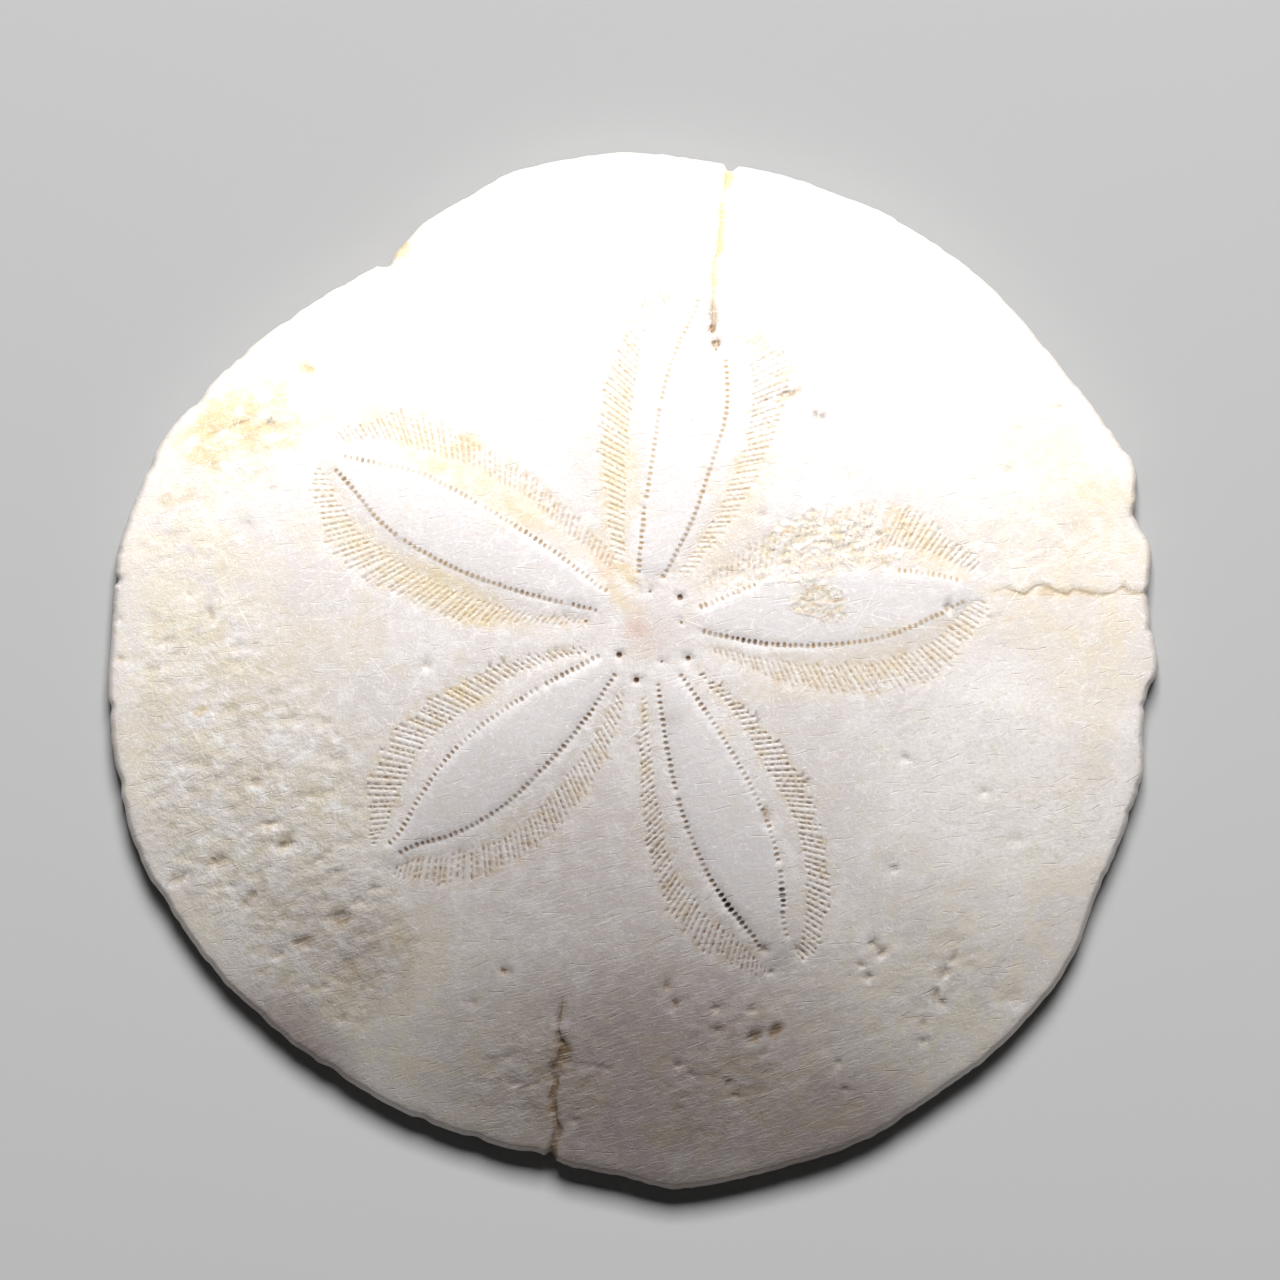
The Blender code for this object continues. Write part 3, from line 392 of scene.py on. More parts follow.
# white of chalky scratches and flecks, and of the painted highlights
CHALK_AND_HIGHLIGHT = (0.95, 0.93, 0.92, 1)
SEDIMENT = (0.40, 0.27, 0.12, 1)
STAIN_AND_LIGHT_COLOURS = {
    # the pale kind is painted light, a paler patch on the lower right
    "pale": (0.92, 0.87, 0.85, 1),
    "khaki": (0.64, 0.55, 0.37, 1), "ochre": (0.69, 0.55, 0.335, 1), "pink": (0.66, 0.465, 0.38, 1),
    "grey": (0.36, 0.30, 0.265, 1), "brown": (0.22, 0.13, 0.055, 1),
}
FURROW = (0.18, 0.095, 0.042, 1)
FURROW_WARM = (0.46, 0.26, 0.07, 1)
PORE_WARM = (0.50, 0.335, 0.15, 1)
PORE = (0.36, 0.255, 0.18, 1)
# painted shade inside the pores
PORE_SHADE = (0.03, 0.016, 0.01, 1)


# ---------------------------------------------------------------- floor, light and camera, as numbers

FLOOR_SIZE = 1.6  # metres, as are the places of the lights
FLOOR_DROP = 0.00004
FLOOR_GREY = (0.28, 0.28, 0.28, 1)
WORLD_POWER = 0.05
KEY_POWER = 0.355
KEY_SPREAD = 35.0
FILL_POWER = 0.18
FLOOR_POWER = 20.0
FRAME_PIXELS = 1280
PIXELS_PER_MM = 11.41
CENTRE_PIXEL = (633.0, 670.8)  # where the middle of the test lies in the frame
LENS = 400.0
SENSOR = 36.0


# ---------------------------------------------------------------- curves, noise and other helpers

def closed_spline(points, steps):
    """A smooth closed curve through the points (Catmull-Rom), as steps points."""
    points = np.array(points)
    at = np.arange(steps) * len(points) / steps
    i = at.astype(int)
    t = (at - i)[:, None]
    a, b, c, d = (points[(i + k) % len(points)] for k in (-1, 0, 1, 2))
    return 0.5 * (2 * b + (c - a) * t + (2 * a - 5 * b + 4 * c - d) * t**2 + (3 * b - a - 3 * c + d) * t**3)


def through(at, stations, values):
    """A smooth curve through the values at the stations (cubic Hermite)."""
    x, y = np.asarray(stations, float), np.asarray(values, float)
    slope = np.gradient(y, x)
    k = np.clip(np.searchsorted(x, at) - 1, 0, len(x) - 2)
    h = x[k + 1] - x[k]
    t = (at - x[k]) / h
    return ((1 + 2 * t) * (1 - t)**2 * y[k] + t * (1 - t)**2 * h * slope[k]
            + t * t * (3 - 2 * t) * y[k + 1] + t * t * (t - 1) * h * slope[k + 1])


def half_width(values, along):
    """A petal's half width at one place along its axis."""
    return float(through(np.array([along]), STATIONS, values)[0])


def smoothstep(low, high, value):
    """0 below low and 1 above high, with a smooth rise between them."""
    t = np.clip((value - low) / (high - low), 0, 1)
    return t * t * (3 - 2 * t)


def noise(points, scale, seed):
    """Smooth noise from -1 to 1 with one lattice step every scale millimetres."""
    side = 256
    lattice = np.random.default_rng(seed).uniform(-1, 1, (side, side))
    at = np.asarray(points) / scale + side / 2
    cell = np.floor(at).astype(int)
    t = at - cell
    t = t * t * (3 - 2 * t)
    x0, y0 = cell[:, 0] % side, cell[:, 1] % side
    x1, y1 = (x0 + 1) % side, (y0 + 1) % side
    low = lattice[x0, y0] * (1 - t[:, 0]) + lattice[x1, y0] * t[:, 0]
    high = lattice[x0, y1] * (1 - t[:, 0]) + lattice[x1, y1] * t[:, 0]
    return low * (1 - t[:, 1]) + high * t[:, 1]


def stretched(points, azimuth, ratio):
    """The points turned and squeezed, so that noise on them is longer along that azimuth."""
    turn = math.radians(azimuth)
    u = points[:, 0] * math.cos(turn) + points[:, 1] * math.sin(turn)
    v = -points[:, 0] * math.sin(turn) + points[:, 1] * math.cos(turn)
    return np.stack([u / ratio, v], axis=1)


def oval_distance(points, x, y, length, width, azimuth):
    """Distance from an oval's centre, as a share of its half length and half width."""
    turn = math.radians(azimuth)
    dx, dy = points[:, 0] - x, points[:, 1] - y
    return np.hypot((dx * math.cos(turn) + dy * math.sin(turn)) / length,
                    (-dx * math.sin(turn) + dy * math.cos(turn)) / width)


def oval_ring(x, y, length, width, turn, count, phase=0.0):
    """Points all round an oval with those half sizes, turned by turn in radians."""
    way = math.tau * (np.arange(count) + phase) / count
    u, v = length * np.cos(way), width * np.sin(way)
    return np.stack([x + u * math.cos(turn) - v * math.sin(turn),
                     y + u * math.sin(turn) + v * math.cos(turn)], axis=1)


def polyline_distance(points, line):
    """Distance from each point to a line of points, which side it is on, and the share of the way along."""
    best = np.full(len(points), 1e9)
    side = np.zeros(len(points))
    share = np.zeros(len(points))
    line = np.asarray(line, float)
    for k, (a, b) in enumerate(zip(line[:-1], line[1:])):
        run = b - a
        t = np.clip(((points - a) @ run) / (run @ run), 0, 1)
        off = points - (a + t[:, None] * run)
        far = np.hypot(off[:, 0], off[:, 1])
        near = far < best
        best[near] = far[near]
        side[near] = np.sign(run[0] * off[near, 1] - run[1] * off[near, 0])
        share[near] = (k + t[near]) / (len(line) - 1)
    return best, side, share


def walked(line, start, step):
    """Places a step apart along a line of (x, y) or (x, y, half width), and unit vectors across it."""
    line = np.asarray(line, float)
    run = np.concatenate([[0], np.cumsum(np.hypot(*np.diff(line[:, :2], axis=0).T))])
    at = np.arange(start, run[-1], step)
    path = np.stack([np.interp(at, run, values) for values in line.T], axis=1)
    along = np.gradient(path[:, :2], axis=0)
    along /= np.hypot(*along.T)[:, None]
    return path, np.stack([-along[:, 1], along[:, 0]], axis=1)


def search_tree(points):
    """A tree that finds the nearest of some points in the plane."""
    tree = kdtree.KDTree(len(points))
    for k, (x, y) in enumerate(points):
        tree.insert((x, y, 0), k)
    tree.balance()
    return tree


# ---------------------------------------------------------------- the form of the test

def fitted(curve):
    """The outline at its place and size in the part's box."""
    low, high = curve.min(axis=0), curve.max(axis=0)
    return (curve - low) / (high - low) * (HIGH - LOW)[:2] + LOW[:2]


def rim_outline():
    """The margin seen from above, with its chips, crack mouths and fine wear."""
    curve = closed_spline(OUTLINE, RIM_STEPS)
    radius = np.hypot(curve[:, 0], curve[:, 1])
    azimuth = np.degrees(np.arctan2(curve[:, 1], curve[:, 0]))
    cut = np.zeros(RIM_STEPS)
    for place, half, depth in NOTCHES:
        off = (azimuth - place + 180) % 360 - 180
        along = np.abs(np.radians(off) * radius) / half
        cut = np.maximum(cut, depth * np.clip(1 - along**1.5, 0, 1))
    wear = np.clip(noise(curve, 1.7, 3) * 0.6 + noise(curve, 0.65, 4) * 0.6, -0.2, 1)
    cut = cut + RIM_SCALLOP * (wear + 0.2)
    return fitted(curve * (1 - cut / radius)[:, None])


def reach_table(curve):
    """The distance from the apex to a closed curve, as azimuths in order and the distances there."""
    away = curve - APEX
    azimuth = np.arctan2(away[:, 1], away[:, 0])
    order = np.argsort(azimuth)
    return azimuth[order], np.hypot(away[:, 0], away[:, 1])[order]


RIM = rim_outline()
RIM_REACH = reach_table(RIM)
WHOLE_REACH = reach_table(fitted(closed_spline(OUTLINE[::2], RIM_STEPS)))  # the margin before it was worn


def reach_at(points, table):
    """How far each point is from the apex, and how far the curve is in its direction."""
    away = points - APEX
    return np.hypot(*away.T), np.interp(np.arctan2(away[:, 1], away[:, 0]), *table, period=2 * math.pi)


def polar(points):
    """Share of the way from the apex to the unworn margin, and the distance to the real one."""
    radius, whole = reach_at(points, WHOLE_REACH)
    reach = reach_at(points, RIM_REACH)[1]
    return np.clip(radius / (whole + WEAR_ROOM), 0, 1), np.maximum(reach - radius, 0)


def inside_rim(points):
    """Which points lie inside the margin."""
    radius, reach = reach_at(points, RIM_REACH)
    return radius < reach - SAME_PLACE


def dome(points):
    """Height of the aboral face without its relief."""
    share, inset = polar(points)
    top = MARGIN_THICKNESS + (APEX_HEIGHT - MARGIN_THICKNESS) * (1 - share**DOME_POWER)
    rounding = np.sqrt(1 - np.clip(1 - inset / TOP_ROUNDING, 0, 1) ** 2)
    return AMBITUS_HEIGHT + (top - AMBITUS_HEIGHT) * rounding


def oral(points):
    """Height of the oral face without its relief."""
    inset = polar(points)[1]
    rounding = np.sqrt(1 - np.clip(1 - inset / ORAL_ROUNDING, 0, 1) ** 2)
    return AMBITUS_HEIGHT * (1 - rounding)


def petal_frame(petal, points):
    """Distances along a petal's axis and across it (left is positive)."""
    azimuth = math.radians(petal["azimuth"])
    away = points - APEX
    return (away[:, 0] * math.cos(azimuth) + away[:, 1] * math.sin(azimuth),
            -away[:, 0] * math.sin(azimuth) + away[:, 1] * math.cos(azimuth))


def petal_points(petal, along, across):
    """The places in the plane for distances along a petal's axis and across it."""
    azimuth = math.radians(petal["azimuth"])
    return np.stack([APEX[0] + along * math.cos(azimuth) - across * math.sin(azimuth),
                     APEX[1] + along * math.sin(azimuth) + across * math.cos(azimuth)], axis=-1)


def petal_masks(points):
    """Shares for each point of a petal's smooth centre, of its ribbed bands and of its swelling."""
    centre = np.zeros(len(points))
    band = np.zeros(len(points))
    swell = np.zeros(len(points))
    for petal in PETALS:
        along, across = petal_frame(petal, points)
        beyond = smoothstep(petal["rows_end"] - 0.5, petal["end"] + 0.3, along)
        within = smoothstep(*PETAL_START, along) * (1 - beyond)
        at = np.clip(along, STATIONS[0], STATIONS[-1])
        off = np.abs(across)
        for side, sign in SIDES:
            own = (across * sign >= 0) & (within > 0)
            pores, inner, outer = (through(at, STATIONS, petal[side][row]) for row in ROWS)
            centre[own] = np.maximum(centre, within * (1 - smoothstep(pores - 0.1, pores + 0.3, off)))[own]
            swell[own] = np.maximum(swell, within * np.clip(1 - (off / np.maximum(inner, 0.5))**2, 0, 1))[own]
            past = smoothstep(outer - 0.2, outer + 0.5, off)
            strip = smoothstep(inner - 0.4, inner + 0.2, off) * (1 - past)
            band[own] = np.maximum(band, within * strip)[own]
    return centre, band, swell


def pit_bowls(points):
    """Depth of the pits at each point, and masks of their beds and of the painted highlight on the lips below
    them, which face the lamp.
    """
    depth = np.zeros(len(points))
    mask = np.zeros(len(points))
    lip = np.zeros(len(points))
    for x, y, length, width, azimuth, deep in PITS:
        near = (np.abs(points - (x, y)) < 2.5 * length).all(axis=1)
        wobble = 1 + 0.3 * noise(points[near], 0.6, 21) + 0.2 * noise(points[near], 0.25, 22)
        far = oval_distance(points[near], x, y, length * PIT_SIZE, width * PIT_SIZE, azimuth) / wobble
        # painted highlight on the lip below each pit, whose wall faces the lamp on the +Y side
        below = np.clip((y - points[near][:, 1]) / (width * PIT_SIZE), 0, 1)
        lit_lip = 0.9 * below * smoothstep(0.85, 1.1, far) * (1 - smoothstep(1.15, 1.6, far))
        lip[near] = np.maximum(lip[near], lit_lip)
        depth[near] = np.maximum(depth[near], deep * PIT_SHARE * (1 - smoothstep(0.1, 1.2, far)))
        mask[near] = np.maximum(mask[near], min(1.0, (deep / PIT_DARK)**2) * (1 - smoothstep(0.2, 1.1, far)))
    return depth, mask, lip


def crack_cuts(points):
    """Offset of the cracks at each point, and a mask of their beds."""
    offset = np.zeros(len(points))
    mask = np.zeros(len(points))
    for crack in CRACKS:
        line = np.array(crack["line"])[:, :2]
        room = CRACK_REACH + 0.5
        low, high = line.min(axis=0) - room, line.max(axis=0) + room
        box = ((points > low) & (points < high)).all(axis=1)
        far, side, share = polyline_distance(points[box], line)
        fade = smoothstep(0.0, 0.12, share)
        half = np.interp(share * (len(line) - 1), np.arange(len(line)), np.array(crack["line"])[:, 2])
        half = np.maximum(half * CRACK_SIZE * (1 + 0.3 * noise(points[box], 0.8, 31)), 0.03)
        cut = crack["depth"] * fade * np.clip(half / 0.2, 0.3, 1)
        cut = cut * (1 - smoothstep(0.1 * half, 1.4 * half, far))
        bank = crack["step"] * fade * (1 - smoothstep(half, CRACK_REACH, far))
        offset[box] += bank * (np.where(side > 0, 1.0, 0.0) - 0.5) - cut
        bed = crack["tone"] * np.clip(1 + 0.5 * noise(points[box], 1.4, 32), 0.3, 1)
        mask[box] = np.maximum(mask[box], bed * fade * (1 - smoothstep(0.5 * half, 1.6 * half, far)))
    return offset, mask


def roughness_zone(points):
    """Where the face is eroded: a share from 0 to 1."""
    zone = np.zeros(len(points))
    for x, y, radius, strength in ROUGH_ZONES:
        far = np.hypot(points[:, 0] - x, points[:, 1] - y) / radius
        zone = np.maximum(zone, strength * (1 - smoothstep(0.45, 1.0, far)))
    return zone


def honeycomb(points):
    """Where the face is eroded into fine ripples and cells: a share from 0 to 1."""
    zone = np.zeros(len(points))
    for x, y, length, width, azimuth, strength in HONEYCOMBS:
        far = oval_distance(points, x, y, length, width, azimuth) * (1 + 0.4 * noise(points, 1.4, 51))
        zone = np.maximum(zone, strength * (1 - smoothstep(0.75, 1.05, far)))
    return zone


def stain_light_and_shade_masks(points):
    """One mask for each kind of stain and of painted light and shade, with ragged edges but for the soft ones
    of the painted shade over the lower half.
    """
    masks = {kind: np.zeros(len(points)) for kind in STAIN_LIGHT_AND_SHADE_KINDS}
    for k, (kind, x, y, length, width, azimuth, strength) in enumerate(STAINS_LIGHT_AND_SHADE):
        size = max(length, width)
        near = (np.abs(points - (x, y)) < 1.6 * size).all(axis=1)
        large = noise(points[near], 0.5 * size, 60 + k)
        small = noise(points[near], 0.17 * size + 0.15, 61)
        far = oval_distance(points[near], x, y, length, width, azimuth)
        if kind == "lower_shade":
            spread = 1 - smoothstep(0.15, 1.15, far)
        else:
            spread = 1 - smoothstep(0.35, 1.15, far * (1 + 0.35 * large + 0.2 * small))
        masks[kind][near] = np.maximum(masks[kind][near], strength * spread)
    return masks


def aboral_height(points):
    """Height of the aboral face with all relief but the pores and furrows, and the masks that go with it."""
    centre, band, swell = petal_masks(points)
    pit, pit_mask, pit_highlight = pit_bowls(points)
    crack, crack_mask = crack_cuts(points)
    rough = roughness_zone(points)
    cells = honeycomb(points)
    share, inset = polar(points)
    quiet = smoothstep(0.0, 3.2, inset) * (1 - centre) * smoothstep(1.0, 6.0, np.hypot(*(points - APEX).T))
    grain = noise(points, 1.3, 11) * 0.6 + noise(points, 0.6, 12) * 0.4
    drawn = stretched(points, 20, 2.1)
    fine = noise(drawn, 0.45, 14)
    hollow = np.clip(noise(drawn, 0.8, 13) * 0.6 + fine * 0.5 - 0.1, 0, 1)
    cloud = np.clip(0.5 + 0.6 * noise(points, 3.4, 18) + 0.4 * noise(points, 1.5, 19), 0, 1)
    flow = stretched(points + 0.25 * noise(points, 1.1, 15)[:, None], 8, 1.7)
    ripple = np.clip(0.65 * noise(flow, 0.36, 16) + 0.6 * noise(flow, 0.24, 17), -0.5, 1)
    height = (dome(points) + CENTRE_SWELL * swell * smoothstep(0, 6, inset) - BAND_SINK * band
              + quiet * (0.09 * (noise(points, 11.0, 9) - 1) + 0.03 * (noise(points, 4.0, 10) - 1))
              + quiet * rough * (ROUGH_GRAIN * (grain - 1) - ROUGH_HOLLOW * hollow)
              - cells * (CELL_SINK + CELL_RIPPLE * ripple) - pit + crack)
    masks = {"band": band * (1 - 0.5 * cells), "petal": centre * (1 - cells), "cells": cells,
             "crack": crack_mask, "pit": pit_mask, "rough": np.maximum(rough * quiet, cells),
             "edge": 1 - smoothstep(0.5, 4.0, inset), "outer": smoothstep(0.45, 0.95, share)}
    masks.update(stain_light_and_shade_masks(points))
    masks["khaki"] = np.clip(masks["khaki"] * cloud + quiet * rough * (0.2 * cloud + 0.5 * hollow)
                             + 1.1 * cells * np.clip(ripple, 0, 1), 0, 1)
    # painted highlight on the ridges of rough and honeycombed places, joined with that on the pits' lips
    ridges = np.clip(-1.8 * fine - 0.4, 0, 1)
    masks["lip"] = np.maximum(pit_highlight, 0.8 * quiet * np.maximum(rough, 0.8 * cells) * ridges)
    return height, np.stack([masks.get(name, np.zeros(len(points))) for name in MASKS], axis=1)


# ---------------------------------------------------------------- points that follow the relief

class Points:
    """Points in the plane with an offset along Z and their own values for the masks."""

    def __init__(self):
        self.xy, self.offset, self.masks = [], [], []

    def add(self, xy, offset=0.0, **masks):
        xy = np.asarray(xy, float).reshape(-1, 2)
        own = np.zeros((len(xy), len(MASKS)))
        for name, value in masks.items():
            own[:, MASKS.index(name)] = value
        self.xy.append(xy)
        self.offset.append(np.zeros(len(xy)) + offset)
        self.masks.append(own)

    def joined(self):
        return np.concatenate(self.xy), np.concatenate(self.offset), np.concatenate(self.masks)


def along_curve(start, end, values, pitch):
    """Stations along a petal, one pitch apart as measured on the curve of those half widths."""
    fine = np.arange(start, end, 0.02)
    width = through(fine, STATIONS, values)
    run = np.concatenate([[0], np.cumsum(np.hypot(np.diff(fine), np.diff(width)))])
    return np.interp(np.arange(0, run[-1], pitch), run, fine)


def in_worn_gap(petal, side, along):
    """Whether a row and its band are worn away here."""
    return any(petal["azimuth"] == azimuth and side == worn and start < along < end
               for azimuth, worn, start, end in WORN_GAPS)


def strongest(place, zones, fall=1.0):
    """The greatest strength at a place of round zones that are less by fall at their edges."""
    return max(strength * max(0.0, 1 - math.dist(place, (x, y)) / radius * fall)
               for x, y, radius, strength in zones)


def add_pores(points, petal, side, sign, rng):
    """One row of pores: each an oval hole across the row."""
    values = petal[side]["pores"]
    for along in along_curve(ROWS_START, petal["rows_end"], values, PITCH):
        if in_worn_gap(petal, side, along) or rng.random() < PORES_MISSING:
            continue
        along = along + rng.normal(0, 0.018)
        across = half_width(values, along) + rng.normal(0, 0.025)
        slope = float(np.diff(through(np.array([along - 0.2, along + 0.2]), STATIONS, values))[0]) / 0.4
        add_pore(points, petal, along, sign * across, math.atan(slope) * sign, rng)


def add_pore(points, petal, along, across, turn, rng):
    """One pore: wide and black, brown, or filled and pale, by where it is, with painted shade on its upper
    side and a painted highlight on its lower lip.
    """
    place = petal_points(petal, along, across)
    black = strongest(place, DARK_PORES, 0.8)
    pale = strongest(place, PALE_PORES)
    size = rng.uniform(0.82, 1.12) * (1 + 0.3 * black)
    worn = float(np.clip(0.95 + 0.5 * noise(np.array([place]), 1.8, 41)[0], 0.55, 1.1))
    deep = rng.uniform(0.65, 1.1) * (1 - pale) * max(worn, black)
    filled = 0.7 * pale * worn
    for reach, count, depth, dark in RINGS:
        ring = oval_ring(along, across, reach * PORE_ALONG * size, reach * PORE_ACROSS * size, turn, count,
                         0.5 * (count % 2))
        ring = petal_points(petal, ring[:, 0], ring[:, 1])
        # painted shade and highlight, as from the lamp on the +Y side: each pore darker on its upper side and
        # whiter on the lip below, and the wide open ones painted near black
        upper = np.clip((ring[:, 1] - place[1]) / PORE_ACROSS, -1, 1)
        points.add(ring, -PORE_DEPTH * depth * deep * (1 + black), pore=dark * min(1.0, deep + filled),
                   dark=dark * np.clip(1.4 * black + 0.16 * upper, 0, 1),
                   lip=0.75 * (1 - pale) * np.clip(-upper, 0, 1) * (reach > 1), warm=min(1.0, 1.6 * pale))


def add_gonopores(points):
    """The round pores of the apical disc."""
    for x, y, radius, depth in GONOPORES:
        for reach, count, deep, dark in RINGS:
            # painted shade in the pores, darker the deeper they are
            points.add(oval_ring(x, y, reach * radius, reach * radius, 0.0, count), -depth * deep, pore=dark,
                       dark=0.4 * dark * min(1.0, 2 * depth), warm=0.3)


def furrow_lines(petal, side):
    """The furrows of one ribbed band: where each starts, its direction and its length."""
    inner_values, outer_values = petal[side]["inner"], petal[side]["outer"]
    reach = np.linspace(0, LONGEST_FURROW, 281)
    lines = []
    for along in along_curve(ROWS_START + FURROW_INSET, petal["end"] - FURROW_INSET, inner_values, PITCH):
        slant = math.radians(np.interp(along, SLANT_STATIONS, SLANT))
        start = np.array([along, half_width(inner_values, along)])
        way = np.array([math.sin(slant), math.cos(slant)])
        probe = start + reach[:, None] * way
        outer = through(np.clip(probe[:, 0], STATIONS[0], STATIONS[-1]), STATIONS, outer_values)
        outer = np.where(probe[:, 0] > petal["end"], 0, outer)
        length = reach[np.argmax(probe[:, 1] >= outer)]
        if length > SHORTEST_FURROW:
            lines.append((start, way, length))
    return lines


def add_furrows(points, petal, side, sign, rng):
    """One ribbed band: furrows that lean towards the tip, partly bridged into rows of beads."""
    lines = furrow_lines(petal, side)
    for k, line in enumerate(lines):
        outward = -1 if k == 0 else int(k == len(lines) - 1)
        share, run = add_furrow(points, petal, side, sign, line, outward, rng)
        if k + 1 < len(lines):
            after, way, length = lines[k + 1]
            crest = (run + after + (share * length)[:, None] * way) / 2
            # a painted highlight along the crest between furrows
            points.add(to_plane(petal, sign, crest[::2]), CREST_LIFT, lip=rng.uniform(0.1, 0.4))


def add_furrow(points, petal, side, sign, line, outward, rng):
    """One furrow with its banks, the lower one painted with a highlight and the upper one with shade, and
    plain stone outward of a band's first and last.

    Gives the shares along its whole line, and the places there.
    """
    start, way, length = line
    worn = in_worn_gap(petal, side, start[0])
    share = np.linspace(0, 1, max(5, int(length / FURROW_STEP) + 1))
    first = rng.uniform(0.0, 0.12)
    last = rng.uniform(0.8, 1.02)
    t = first + (last - first) * share
    lean = rng.normal(0, 0.03)
    way = np.array([way[0] + lean * way[1], way[1] - lean * way[0]])
    normal = np.array([way[1], -way[0]])
    centre = start + (t * length)[:, None] * way + rng.normal(0, 0.025) * normal
    depth = rng.uniform(0.6, 1.2) * FURROW_DEPTH * petal["cut"] * (0.3 if worn else 1.0)
    profile = dashes(share * length, rng)
    wide = FURROW_HALF_WIDTH * (0.6 + 0.6 * profile)
    dark = profile * rng.uniform(0.75, 1.0) * petal["tone"] * (0.4 if worn else 1.0)
    bed = to_plane(petal, sign, centre)
    points.add(bed, -depth * profile, furrow=dark, warm=petal["warm"])
    points.add(to_plane(petal, sign, np.stack([centre[0] - FURROW_CAP * way, centre[-1] + FURROW_CAP * way])))
    if outward:
        beside = PITCH / 2 * outward * normal
        points.add(to_plane(petal, sign, centre[::2] + beside * np.sign(normal[0])))
    for side_of_it in (-1, 1):
        bank = to_plane(petal, sign, centre + side_of_it * wide[:, None] * normal)
        below = bank[:, 1].mean() < bed[:, 1].mean()
        # painted highlight and shade, as from the lamp on the +Y side: the lower bank is whitened and the
        # upper bank darkened with the furrow's colour
        points.add(bank, BANK_LIFT * profile, furrow=(0.15 if below else 0.5) * dark, warm=petal["warm"],
                   lip=(0.95 if below else 0.1) * dark)
    return share, start + (share * length)[:, None] * way


def dashes(run, rng):
    """One furrow along its run: short holes of uneven strength in a shallow groove."""
    length = run[-1]
    profile = rng.uniform(0.0, 0.22) * np.clip(np.minimum(run, length - run) / 0.5, 0, 1)
    at = rng.uniform(-0.1, 0.3)
    while at < length - 0.15:
        half = rng.choice(DASH_HALVES)
        strength = rng.uniform(0.55, 1.0)
        profile = np.maximum(profile, strength * np.clip(1 - ((run - at - half) / half)**4, 0, 1))
        at += 2 * half + rng.uniform(*DASH_GAPS)
    return profile


def to_plane(petal, sign, flat):
    """A band's own points, in the plane."""
    return petal_points(petal, flat[:, 0], sign * flat[:, 1])


def add_pit_rings(points):
    """Points on and round each pit."""
    for x, y, length, width, azimuth, _ in PITS:
        for reach, count in ((0.0, 1), (0.35, 6), (0.65, 10), (0.9, 12), (1.15, 14)):
            points.add(oval_ring(x, y, reach * length, reach * width, math.radians(azimuth), count))


def add_crack_rows(points):
    """Rows of points in and beside each crack."""
    for crack in CRACKS:
        path, across = walked(crack["line"], 0, 0.2)
        for off in (-1.6, -1.0, -0.4, 0.4, 1.0, 1.6):
            points.add(path[:, :2] + off * path[:, 2:] * across)


def margin_rings(insets):
    """The ambitus, and rings beside it that carry the rounding of the margin."""
    inward = APEX - RIM
    inward = inward / np.hypot(*inward.T)[:, None]
    points = Points()
    for inset in (0.0, *insets):
        points.add(RIM + inward * inset)
    return points


def field(spacing, lowest_inset):
    """Plain points on a triangular grid, a little off their places."""
    reach = int(FIELD_REACH / spacing)
    column, row = np.meshgrid(np.arange(-reach, reach + 1), np.arange(-reach, reach + 1))
    grid = np.stack([(column + 0.5 * (row % 2)) * spacing, row * spacing * 0.866], axis=-1).reshape(-1, 2)
    grid = grid + np.random.default_rng(5).uniform(-0.2, 0.2, grid.shape) * spacing
    grid = grid[np.hypot(*grid.T) < FIELD_REACH]
    return grid[polar(grid)[1] > lowest_inset]


def clear_of(grid, others, distance):
    """The grid's points that keep their distance from the others."""
    taken = set(map(tuple, np.floor(others / distance).astype(int)))
    keys = np.floor(grid / distance).astype(int)
    tree = search_tree(others)
    keep = np.ones(len(grid), bool)
    for k, (a, b) in enumerate(keys):
        if any((a + i, b + j) in taken for i in (-1, 0, 1) for j in (-1, 0, 1)):
            keep[k] = tree.find((grid[k, 0], grid[k, 1], 0))[2] > distance
    return grid[keep]


def triangulate(xy):
    """Delaunay triangles of the points, those inside the margin's outline."""
    rim = list(range(RIM_STEPS))
    edges = list(zip(rim, rim[1:] + rim[:1]))
    flat, _, faces, origins, _, _ = geometry.delaunay_2d_cdt(
        [Vector(point) for point in xy.tolist()], edges, [], 0, 1e-5, True)
    flat = np.array([tuple(point) for point in flat])
    source = np.array([group[0] if group else -1 for group in origins])
    faces = np.array(faces)
    return flat, faces[inside_rim(flat[faces].mean(axis=1))], source


def petal_relief():
    """The points, offsets and masks of every pore and furrow."""
    rng = np.random.default_rng(17)
    relief = Points()
    for petal in PETALS:
        for side, sign in SIDES:
            add_pores(relief, petal, side, sign, rng)
            add_furrows(relief, petal, side, sign, rng)
    add_gonopores(relief)
    return relief.joined()


def spacing_at(points):
    """How far apart the aboral face's plain points lie at each place."""
    elsewhere = np.where(roughness_zone(points) > 0.3, FINE_SPACING, FIELD_SPACING)
    return np.where(honeycomb(points) > 0.05, CELL_SPACING, elsewhere)


